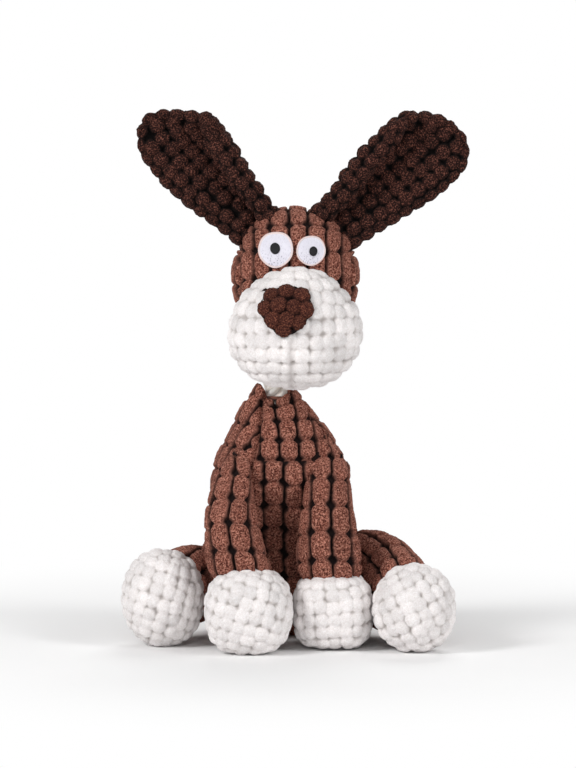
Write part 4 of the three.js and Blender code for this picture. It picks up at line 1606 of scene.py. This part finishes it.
@dataclass
class Ear:
    """A long ear of two dark panels, cupped forward, its upper edge rolled over."""

    wardrobe: Wardrobe
    side: EarSide
    root: Point
    length: float
    width: float
    lean: float
    slant: float
    sway: float
    wall: float = 3.0
    roll: float = 18.0
    turned: float = 4.2
    edge_swell: float = 1.8
    valley: float = 3.6
    valley_width: float = 0.42
    lip: float = 3.4
    lip_share: float = 0.3
    arch: float = 1.2
    entry: float = 0.12
    row_step: float = 0.0078
    even_end: float = 0.84
    tip_reach: float = 0.158
    tip_start: float = 0.79
    tip_power: float = 2.25
    give: float = 10.0
    outer_points: int = 112
    inner_points: int = 30
    pile: BubblePile = BubblePile(pitch=7.7, rise=7.7, reach=0.6, tall=3.6, proud=0.8, fuzz=0.3)
    steps: Shares = (0, 0.06, 0.18, 0.33, 0.49, 0.65, 0.8, 0.9, 0.96, 1)
    wide_shares: Shares = (0.62, 0.66, 0.74, 0.85, 0.95, 1, 0.97, 0.95, 0.93, 0.92)

    def axes(self) -> tuple[np.ndarray, np.ndarray]:
        """The ear's own directions.

        Returns:
            The direction toward its tip, and the one across it toward its upper edge.
        """
        sign = self.side.value
        up = np.array([sign * math.sin(self.lean), 0, math.cos(self.lean)])
        return up, np.array([-sign * math.cos(self.lean), 0, math.sin(self.lean)])

    def cupped(self, place: np.ndarray) -> np.ndarray:
        """How far the ear is cupped at a place: wholly up to 0.6, and hardly at the tip."""
        return 1 - 0.85 * ease(place, 0.6, 0.98)

    def spans(self, place: np.ndarray) -> tuple[np.ndarray, np.ndarray, np.ndarray, np.ndarray]:
        """The cross-section at a place. The tip rounds off as |u|^p + |v|^p = 1.

        Args:
            place: 0 at the root and 1 at the tip.

        Returns:
            Its half width, flat length, rolled length and bend.
        """
        rounding = np.clip(place - self.tip_start, 0, 1) / (1 - self.tip_start)
        tip = np.clip(1 - rounding ** self.tip_power, 0, 1) ** (1 / self.tip_power)
        half = self.width / 2 * smooth_through(self.steps, self.wide_shares, place) * tip
        roll = np.minimum(self.roll * (1 - 0.35 * ease(place, 0.5, 1.0)), half * 1.15 + 0.01)
        bend = np.maximum(self.turned * self.cupped(place), 0.05) / roll
        reach = np.where(bend * roll > math.pi / 2, 1 / bend, np.sin(bend * roll) / bend)
        return half, 2 * half - reach, roll, bend

    def sheet(self, place: np.ndarray, wide: np.ndarray) -> np.ndarray:
        """The middle surface: dished from its lower edge, then rolled on an arc at its upper edge.

        The valley is a bell curve across, and the lip a square that rises to the lower edge. The
        ear arches forward along its length by a sine, and is shorter toward its upper edge.

        Args:
            place: 0 at the root and 1 at the tip, and below 0 inside the skull.
            wide: -1 at the lower edge and 1 at the upper edge.

        Returns:
            The points.
        """
        up, inward = self.axes()
        half, flat, roll, bend = self.spans(place)
        run = (wide + 1) / 2 * (flat + roll)
        over = np.clip(run - flat, 0, None)
        x = -half + np.minimum(run, flat) + np.sin(bend * over) / bend
        y = (1 - np.cos(bend * over)) / bend
        low = np.clip(self.lip_share - (wide + 1) / 2, 0, 1) / self.lip_share
        dish = self.lip * low ** 2 - self.valley * bell(wide, self.valley_width)
        y = y + dish * self.cupped(place)
        y = y - self.arch * np.sin(np.clip(place, 0, 1) * math.pi) + self.arch / 3
        short = self.slant * ease(place, 0.55, 1.0) * ease(2 * x / self.width, -0.3, 1.0)
        return self.root + (
            up * (self.length * place - short)[..., None]
            + inward * (x + self.sway * ease(place, 0.3, 1.0))[..., None]
            + FRONT * y[..., None]
        )

    def front_ways(self, place: np.ndarray, wide: np.ndarray) -> np.ndarray:
        """The normals of the middle surface, from small steps on it.

        Args:
            place: As for the sheet.
            wide: As for the sheet.

        Returns:
            Unit normals, on the front side.
        """
        low, high = np.minimum(place - 0.004, 0.985), np.minimum(place + 0.004, 0.993)
        along = self.sheet(high, wide) - self.sheet(low, wide)
        left, right = np.clip(wide - 0.01, -1, 1), np.clip(wide + 0.01, -1, 1)
        across = self.sheet(place, right) - self.sheet(place, left)
        up, inward = self.axes()
        sign = 1.0 if np.dot(np.cross(up, inward), FRONT) > 0 else -1.0
        return sign * unit(np.cross(along, across) + 1e-9 * sign * FRONT)

    def layer(self, face: int) -> None:
        """One panel of the ear, piled on its outer face.

        Args:
            face: 1 for the front panel, and -1 for the back one.
        """
        outer, inner = self.outer_points, self.inner_points
        even = np.arange(-self.entry, self.even_end, self.row_step)
        closer = self.tip_reach * np.sin(np.linspace(0.04, math.pi / 2, 32))
        place = np.concatenate([even, self.even_end + closer])
        lane = np.concatenate([np.linspace(-1, 1, outer), np.linspace(0.99, -0.99, inner)])
        share = np.broadcast_to(place[:, None], (len(place), len(lane)))
        flat, roll = self.spans(share)[1:3]
        edge = np.clip(2 * self.wall / np.maximum(flat + roll, 0.1), 0, 0.9)
        outside = np.broadcast_to((np.arange(len(lane)) < outer)[None], share.shape)
        wide = np.where(outside, lane[None], lane[None] * (1 - 1.1 * edge))
        middle = self.sheet(share, wide)
        ways = self.front_ways(share, wide) * face
        past_side = np.clip((np.abs(wide) - 1) / edge + 1, 0, 1)
        past_tip = np.clip((share - 1) * self.length / self.wall + 1, 0, 1)
        rounded = np.sqrt(1 - past_side ** 2) * np.sqrt(1 - past_tip ** 2)
        thick = np.where(outside, self.wall * rounded, 0.1)
        ends = np.stack([middle[0].mean(0), middle[-1].mean(0)])
        skin = Skin(middle + ways * thick[..., None], ends)
        centres = self.bubble_middles(skin, place)
        relief = self.pile.relief(skin.rings, centres, 61 + face + 4 * self.side.value)
        swell = self.edge_swell * (1 - rounded)
        sunk = np.where(outside, np.maximum(relief.height + swell, 0.3 - thick), 0.0)
        ear = f"{self.side.name.lower()}_ear"
        panel = "front" if face > 0 else "back"
        piece = skin_object(f"{ear}_{panel}_skin", skin.moved(sunk), relief.marks())
        self.wardrobe.dress(piece, Finish.DARK, None, f"{ear}_{panel}")
        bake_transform(piece)

    def bubble_middles(self, skin: Skin, place: np.ndarray) -> np.ndarray:
        """A row of bubbles round the panel's edge, and rows across its outer face inside that.

        Args:
            skin: The panel's skin.
            place: Where each of its rings lies, from the root to the tip.

        Returns:
            The middles of the bubbles.
        """
        first, last = -0.6 * self.pile.rise / self.length, 0.93
        rows = int(round((last - first) * self.length / self.pile.rise))
        middles = []
        edge = np.concatenate([skin.rings[:, 0], skin.rings[::-1, self.outer_points - 1]])
        run = running_length(edge)
        found = np.linspace(0, run[-1], int(round(run[-1] / self.pile.pitch)) + 1)
        rim = read_line(found, run, edge)
        for row, level in enumerate(np.linspace(first, last, rows + 1)):
            line = skin.rings[np.abs(place - level).argmin(), :self.outer_points]
            run = running_length(line)
            count = max(int(round(run[-1] / self.pile.pitch)), 1)
            number = np.arange(1, count)
            cells = np.stack([number, number * 0 + row, number * 0], -1)
            found = number / count * run[-1] + 0.7 * hashed(cells, 5 + self.side.value)
            middles.append(read_line(found, run, line))
        inner = np.concatenate(middles)
        return np.concatenate([rim, inner[nearest(inner, rim)[0] > 0.62 * self.pile.pitch]])

    def build(self) -> None:
        """Both panels."""
        self.layer(1)
        self.layer(-1)


# The legs


@dataclass(kw_only=True)
class Leg:
    """A stuffed leg: ellipses along a bowed line from its root to the middle of its paw."""

    wardrobe: Wardrobe
    torso: Torso
    name: str
    root: Point
    paw: Point
    paw_half: Point
    bow: Point
    width: float
    depth: float
    width_shares: Shares
    depth_shares: Shares
    last: float
    offset: float
    phase: float
    paw_lay: float
    paw_fullness: float
    seed: int
    first: float = 0.0
    edge: float = 0.0
    hug: float = 0.0
    hug_power: float = 1.35
    clear: float = 0.6
    pressed: float = 2.2
    pressed_share: float = 0.06
    sink: float = 3.4
    free: float = 999.0
    cuff: float = 0.14
    cuff_draw: float = 0.3
    rounding: float = 9.0
    least_depth: float = 4.0
    floor_level: float = 0.55
    root_length: float = 16.0
    fill_inset: float = COVER_WALL
    columns: int = 190
    step: float = 0.58
    pile: BlockPile = BlockPile(width=11.5, length=14.6)
    bubbles: BubblePile = BubblePile(pitch=6.7, rise=6.8, reach=0.68, tall=2.6)

    def start(self) -> np.ndarray:
        """Where the leg's middle line starts."""
        return np.array(self.root)

    def skin(self) -> Skin:
        """The smooth skin of the leg, laid against the torso at its top and where it enters it.

        A leg that hugs the torso rounds off over the first millimetres of its length, where it
        is sunk into the torso. Below that it stands off by no more than a height that grows with
        the distance from its top.

        Returns:
            The skin, from its top to the paw.
        """
        line = np.array(self.paw) - self.start()
        through = unit(np.cross(unit(line), RIGHT))
        length = float(np.linalg.norm(line))
        rows = int(length * (self.last - self.first) / self.step)
        place = np.linspace(self.first, self.last, rows)
        even = np.linspace(0, 1, len(self.width_shares))
        wide = self.width / 2 * smooth_through(even, self.width_shares, place)
        deep = smooth_through(even, self.depth_shares, place)
        deep = (self.edge + (self.depth - self.edge) * deep) / 2
        cuff = 1 - self.cuff_draw * ease(place, self.last - self.cuff, self.last)
        wide, deep = wide * cuff, deep * cuff
        lift = np.full(len(place), self.free)
        if self.hug:
            below = np.clip((place - self.first) * length / self.rounding, 0.02, 1)
            wide = wide * np.sqrt(1 - (1 - below) ** 2.4)
            deep = np.maximum(deep, self.least_depth) * np.sqrt(1 - (1 - below) ** 2)
            away = np.clip(place - self.first, 0, 1)
            pressed = self.pressed * (1 - ease(away, 0.0, self.pressed_share))
            lift = self.clear - pressed + self.hug * away ** self.hug_power
        bowed = np.array(self.bow) * np.sin(math.pi * np.maximum(place, 0))[:, None]
        middle = self.start() + line * place[:, None] + bowed
        turn = turns(self.columns)[None, :, None]
        rings = (
            middle[:, None]
            + through * np.cos(turn) * deep[:, None, None]
            + RIGHT * np.sin(turn) * wide[:, None, None]
        )
        rings = self.torso.laid(rings, self.sink, lift[:, None])
        rings[..., 2] = np.maximum(rings[..., 2], self.floor_level)
        return Skin.closed(rings)

    def join(self, piece: bpy.types.Object) -> None:
        """Dresses the leg's skin and sets it on its body."""
        self.wardrobe.dress(piece, Finish.BROWN, f"{self.name}_leg", f"{self.name}_leg_cover")

    def build_leg(self) -> None:
        """The brown pile of the leg, its seam hidden from the front, and its filling."""
        skin = self.skin()
        across, girth = skin.across()
        along = skin.along() + 0 * across
        seam = girth / 2 - np.abs(across)
        cut = Cut(across + self.offset, along + self.phase, np.full(across.shape, self.seed), seam)
        relief = self.pile.relief(cut, skin.rings, self.seed)
        cover = skin.moved(relief.height + skin.lumpy() - puckers(seam, deep=0.8))
        cover.rings[..., 2] = np.maximum(cover.rings[..., 2], FLOOR_CLEARANCE)
        piece = skin_object(f"{self.name}_leg_skin", cover, relief.marks())
        inner = skin.drawn_in(self.fill_inset, self.root_length)
        stuffing(
            f"{self.name}_leg_stuffing", inner, self.wardrobe, f"{self.name}_leg",
            f"{self.name}_leg_fill", self.seed + 5,
        )
        self.join(piece)

    def build_paw(self) -> None:
        """The white bubbles of the paw, flat where it stands on the floor."""
        lay, fullness = self.paw_lay, self.paw_fullness
        skin = ball_skin(self.paw, self.paw_half, 112, 250, lay=lay, fullness=fullness)
        skin.rings[..., 2] = np.maximum(skin.rings[..., 2], self.floor_level)
        shift = 0.3 * (self.seed % 3)
        centres = skin.lattice(self.bubbles.pitch, self.bubbles.rise, shift, stray=1.0)
        relief = self.bubbles.relief(skin.rings, centres, self.seed + 8)
        cover = skin.moved(relief.height + skin.lumpy())
        cover.rings[..., 2] = np.maximum(cover.rings[..., 2], FLOOR_CLEARANCE)
        piece = skin_object(f"{self.name}_paw_skin", cover, relief.marks())
        node = f"{self.name}_paw_cover"
        self.wardrobe.dress(piece, Finish.WHITE, f"{self.name}_leg", node)
        stuffing(
            f"{self.name}_paw_stuffing", skin.lining(), self.wardrobe, f"{self.name}_leg",
            f"{self.name}_paw_fill", self.seed + 6,
        )

    def build(self) -> None:
        """The leg and its paw."""
        self.build_leg()
        self.build_paw()


@dataclass(kw_only=True)
class FrontLeg(Leg):
    """A front leg: it hangs from a sewn edge on the torso and bows forward to its paw."""

    depth: float = 27.0
    edge: float = 1.6
    last: float = 0.86
    hug: float = 85.0
    give_above: float = 1.0
    give_below: float = 12.0
    width_shares: Shares = (0.58, 0.6, 0.65, 0.74, 0.84, 0.91, 0.95, 0.97, 0.98)
    depth_shares: Shares = (0, 0.62, 0.84, 0.92, 0.96, 0.99, 1, 1, 1)

    def join(self, piece: bpy.types.Object) -> None:
        """Dresses the leg's skin and bakes its place into its mesh, on no body.

        Args:
            piece: The leg's skin.
        """
        self.wardrobe.dress(piece, Finish.BROWN, None, f"{self.name}_leg_cover")
        pivot = np.array(self.root)
        down = unit(np.array(self.paw) - pivot)
        start = (pivot - down * self.give_above) * METRE
        end = (pivot + down * self.give_below) * METRE
        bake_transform(piece)


@dataclass(kw_only=True)
class HindLeg(Leg):
    """A hind leg: a haunch against the torso's side that reaches forward along the floor."""

    width: float = 37.0
    last: float = 0.9
    heel_share: float = 0.34
    root_length: float = 26.0
    fill_inset: float = 6.5
    columns: int = 230
    width_shares: Shares = (0.2, 0.72, 0.92, 1, 0.97, 0.93, 0.9, 0.88, 0.88)
    depth_shares: Shares = (0.25, 0.76, 0.94, 1, 0.97, 0.92, 0.87, 0.84, 0.82)

    def start(self) -> np.ndarray:
        """The heel of the haunch, behind the hip by a share of its height."""
        hip, paw = np.array(self.root), np.array(self.paw)
        return hip + unit(hip - paw) * self.depth * self.heel_share


# The neck


@dataclass
class Neck:
    """The cotton rope neck, with a knot in the head, one in the torso, and its binding."""

    wardrobe: Wardrobe
    pivot: Point = (-2.5, -15.0, 129.0)
    rope: float = 11.8
    knot: float = 18.0
    knot_length: float = 15.0
    knot_rise: float = 28.5
    tail: float = 5.0
    strands: int = 3
    lay: float = 28.0
    strand_place: float = 0.5
    strand_half: float = 0.54
    yarns: int = 5
    yarn_lay: float = 0.9
    yarn_relief: float = 0.035
    closing: float = 1.5
    step: float = 0.35
    sides: int = 30

    def outline(self, level: np.ndarray, knot_foot: float) -> np.ndarray:
        """The rope's radius at a height, swollen into three drawn-up turns at the knot.

        Args:
            level: The height over the pivot.
            knot_foot: Where the knot's lower end lies.

        Returns:
            The radius.
        """
        place = (level - knot_foot) / self.knot_length
        inside = ease(place, -0.06, 0.12) * (1 - ease(place, 0.88, 1.06))
        waves = 0.92 + 0.08 * np.cos((place - 0.2) / 0.3 * 2 * math.pi)
        return self.rope / 2 * (1 - inside) + self.knot / 2 * waves * inside

    def twist(
        self, name: str, low: float, high: float, knot_foot: float, body: str, node: str
    ) -> None:
        """One length of rope: three strands, each a tube on a helix inside the rope's outline.

        Args:
            name: The piece's name.
            low: Height of its lower end over the pivot.
            high: Height of its upper end over the pivot.
            knot_foot: Height of the knot's lower end over the pivot.
            body: The body that it rides on.
            node: The CAD node that it replaces.
        """
        level = np.linspace(low, high, int((high - low) / self.step))
        closing = np.clip(np.minimum(level - low, high - level) / self.closing, 0.0, 1.0)
        outline = self.outline(level, knot_foot) * np.sqrt(np.clip(1 - (1 - closing) ** 2, 0.04, 1))
        bead = turns(self.sides)
        points, quads, triangles, marks = [], [], [], {"round": [], "run": []}
        count = 0
        for strand in range(self.strands):
            angle = level * 2 * math.pi / self.lay + strand * 2 * math.pi / self.strands
            way = np.stack([np.cos(angle), np.sin(angle), 0 * angle], -1)
            path = self.pivot + way * (outline * self.strand_place)[:, None] + UP * level[:, None]
            yarn = self.yarns * bead[None] + (level * self.yarn_lay)[:, None]
            radius = (outline * self.strand_half)[:, None] * (1 + self.yarn_relief * np.cos(yarn))
            skin = Skin(tube_rings(path, radius, self.sides, way), path[[0, -1]])
            faces, fans, _ = skin.faces()
            points.append(np.concatenate([skin.rings.reshape(-1, 3), skin.ends]))
            quads.append(faces + count)
            triangles.append(fans + count)
            count += len(points[-1])
            marks["round"].append(np.broadcast_to(bead[None], skin.rings.shape[:2]).ravel())
            marks["run"].append(np.repeat(level * METRE, self.sides))
            for mark in marks.values():
                mark.append(np.zeros(2))
        piece = mesh_object(
            name, np.concatenate(points), np.concatenate(quads), np.concatenate(triangles),
            marks={mark: np.concatenate(values) for mark, values in marks.items()},
        )
        self.wardrobe.dress(piece, Finish.ROPE, body, node)

    def binding(self, reach: float = 7.3, thick: float = 2.2, drop: float = math.pi / 6) -> None:
        """The gathering thread round the rope: three turns side by side in one closed ring.

        Args:
            reach: Its distance from the pivot.
            thick: Its thickness.
            drop: The angle below the horizontal at which it lies.
        """
        rows, sides = 160, 24
        turn, bead = turns(rows), turns(sides)
        middle = np.stack([np.cos(turn), np.sin(turn), 0 * turn], -1)
        radius = thick / 2 * (1 + 0.09 * np.cos(3 * bead[None] + turn[:, None] * 3))
        out = reach * math.cos(drop) + radius * np.cos(bead)[None]
        rise = -reach * math.sin(drop) + radius * np.sin(bead)[None]
        points = self.pivot + middle[:, None] * out[..., None] + UP * rise[..., None]
        index = np.arange(rows * sides).reshape(rows, sides)
        beyond, beside = np.roll(index, -1, 0), np.roll(index, -1, 1)
        quads = np.stack([index, beside, np.roll(beyond, -1, 1), beyond], -1).reshape(-1, 4)
        marks = {"round": np.tile(bead, rows), "run": np.repeat(turn * METRE, sides)}
        piece = mesh_object("neck_gathering_thread", points.reshape(-1, 3), quads, marks=marks)
        self.wardrobe.dress(piece, Finish.THREAD, "neck_collar", "neck_binding")

    def build(self) -> None:
        """The rope neck, the lower knot and the binding."""
        top = self.knot_rise + self.knot_length + self.tail
        self.twist("neck_rope_twist", -self.rope / 2, top, self.knot_rise, "neck", "neck_rope")
        box = [np.array(corner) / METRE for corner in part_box("rope_lower_knot")]
        low, high = (corner[2] - self.pivot[2] for corner in box)
        self.twist("lower_knot_twist", low, high, low, "torso", "rope_lower_knot")
        self.binding()


# The studio


@dataclass(frozen=True)
class Lamp:
    """A square soft lamp: its place and size in metres, and its power in watts."""

    name: str
    place: Point
    size: float
    power: float


@dataclass
class Studio:
    """The camera at the photograph's angle, a pale floor and soft lamps, in metres."""

    aim: Point = (0.0041, -0.02526, 0.1332)
    elevation: float = 5.0
    distance: float = 2.7
    lens: float = 246.7
    view_end: float = 50.0
    floor_half: float = 20.0
    fade_start: float = 0.09
    fade_end: float = 0.34
    surround_light: float = 0.27
    lamps: tuple[Lamp, ...] = (
        Lamp("left_lamp", (-1.3, -1.1, 1.1), 0.6, 19.5),
        Lamp("right_lamp", (1.35, -1.05, 1.0), 0.6, 11.0),
        Lamp("front_lamp", (-0.1, -2.0, 0.7), 0.6, 5.5),
        Lamp("back_lamp", (0.2, 1.0, 1.1), 0.8, 7.0),
    )

    def camera(self) -> None:
        """A camera that looks along +Y, a little down, at the toy's middle."""
        angle = math.radians(self.elevation)
        data = bpy.data.cameras.new("front_camera")
        data.lens = self.lens
        data.clip_end = self.view_end
        eye = bpy.data.objects.new("front_camera", data)
        back = np.array([0.0, -math.cos(angle), math.sin(angle)])
        eye.location = tuple(np.array(self.aim) + back * self.distance)
        eye.rotation_euler = (math.pi / 2 - angle, 0.0, 0.0)
        bpy.context.scene.collection.objects.link(eye)
        bpy.context.scene.camera = eye

    def light(self, lamp: Lamp) -> None:
        """A lamp that faces the toy's middle.

        Args:
            lamp: The lamp.
        """
        data = bpy.data.lights.new(lamp.name, "AREA")
        data.size, data.energy = lamp.size, lamp.power
        piece = bpy.data.objects.new(lamp.name, data)
        piece.location = lamp.place
        way = np.array(self.aim) - np.array(lamp.place)
        tilt = math.atan2(math.hypot(way[0], way[1]), -way[2])
        piece.rotation_euler = (tilt, 0.0, math.atan2(way[1], way[0]) - math.pi / 2)
        bpy.context.scene.collection.objects.link(piece)

    def floor(self) -> None:
        """A wide floor, matt near the toy and the background's plain white further out."""
        half = self.floor_half / METRE
        corners = np.array([(-half, -half, 0), (half, -half, 0), (half, half, 0), (-half, half, 0)])
        floor = mesh_object("floor", corners, np.array([[0, 1, 2, 3]]))
        board = CoatBoard("pale_floor", roughness=0.9, Base_Color=linear(0xFAFAFA))
        node = board.add("ShaderNodeVectorMath", {"operation": "LENGTH"}, {0: board.place()})
        far = Wire(board, node.outputs["Value"]).eased(self.fade_start, self.fade_end)
        glow = board.add("ShaderNodeEmission", {}, {"Color": WHITE, "Strength": 1.0})
        mixed = board.add("ShaderNodeMixShader", {}, {
            0: board.seen() * far,
            1: Wire(board, board.shader.outputs[0]),
            2: Wire(board, glow.outputs[0]),
        })
        board.join(Wire(board, mixed.outputs[0]), board.find("OUTPUT_MATERIAL"), "Surface")
        floor.data.materials.append(board.material)

    def world(self) -> None:
        """A white surround that is plain white to the camera and dimmer as a light."""
        world = bpy.data.worlds.new("white_surround")
        world.use_nodes = True
        board = Board(world.node_tree)
        background = board.find("BACKGROUND")
        background.inputs["Color"].default_value = WHITE
        strength = board.seen() * (1.0 - self.surround_light) + self.surround_light
        board.join(strength, background, "Strength")
        bpy.context.scene.world = world

    def build(self) -> None:
        """Everything round the toy."""
        bpy.context.scene.view_settings.view_transform = "Standard"
        self.camera()
        self.floor()
        self.world()
        for lamp in self.lamps:
            self.light(lamp)


# The toy


def squeaker(wardrobe: Wardrobe) -> None:
    """Finishes the squeaker's own CAD nodes, which keep their shapes."""
    for node, finish in (
        ("squeaker_bulb", Finish.PLASTIC),
        ("squeaker_reed_holder", Finish.PLASTIC),
        ("squeaker_reed", Finish.FILM),
        ("squeaker_reed_wedge", Finish.PLASTIC),
    ):
        wardrobe.dress(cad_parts[node], finish, None)


def ears(wardrobe: Wardrobe) -> list[Ear]:
    """The two ears, whose roots lie on the skull."""
    return [
        Ear(
            wardrobe, EarSide.LEFT, root=(-15.167, -17.0, 216.194),
            length=74.6, width=38.8, lean=0.75, slant=12.0, sway=1.6,
        ),
        Ear(
            wardrobe, EarSide.RIGHT, root=(31.498, -17.0, 215.464),
            length=76.0, width=41.6, lean=0.84, slant=4.5, sway=-1.5,
        ),
    ]


def legs(wardrobe: Wardrobe, torso: Torso) -> list[Leg]:
    """The four legs, with the fabric's lay on each."""
    return [
        FrontLeg(
            wardrobe=wardrobe, torso=torso, name="left_front", root=(-25.5, -35.32, 100.0),
            paw=(-16.2, -67.0, 21.5), paw_half=(22.5, 22.0, 22.0), bow=(-2.8, -6.0, 0.0),
            width=34.0, offset=2.6, phase=-5.3, paw_lay=0.3, paw_fullness=2.5, seed=71,
        ),
        FrontLeg(
            wardrobe=wardrobe, torso=torso, name="right_front", root=(25.5, -28.231, 100.0),
            paw=(27.0, -49.0, 19.25), paw_half=(20.2, 20.5, 19.75), bow=(-1.6, -8.5, 0.0),
            width=36.0, offset=10.0, phase=0.7, paw_lay=-0.08, paw_fullness=3.1, seed=81,
            first=-0.07,
        ),
        HindLeg(
            wardrobe=wardrobe, torso=torso, name="left_hind", root=(-41.5, 1.0, 27.0),
            paw=(-60.0, -39.0, 24.5), paw_half=(21.5, 21.0, 25.0), bow=(-3.0, 0.0, 0.0),
            depth=42.0, offset=5.15, phase=0.0, paw_lay=0.3, paw_fullness=2.1, seed=91,
        ),
        HindLeg(
            wardrobe=wardrobe, torso=torso, name="right_hind", root=(41.5, 1.0, 32.5),
            paw=(68.0, -61.0, 22.0), paw_half=(21.3, 21.0, 22.5), bow=(5.5, 0.0, 0.0),
            depth=51.0, offset=5.15, phase=4.0, paw_lay=-0.5, paw_fullness=2.1, seed=101,
        ),
    ]


def main() -> None:
    """Builds the studio and the toy in order."""
    logging.basicConfig(level=logging.INFO, format="%(name)s: %(message)s")
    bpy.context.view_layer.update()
    wardrobe = Wardrobe()
    Studio().build()
    torso = Torso(wardrobe)
    torso.build()
    Head(wardrobe).build()
    for part in ears(wardrobe) + legs(wardrobe, torso):
        part.build()
    Neck(wardrobe).build()
    squeaker(wardrobe)


if __name__ == "__main__":
    main()
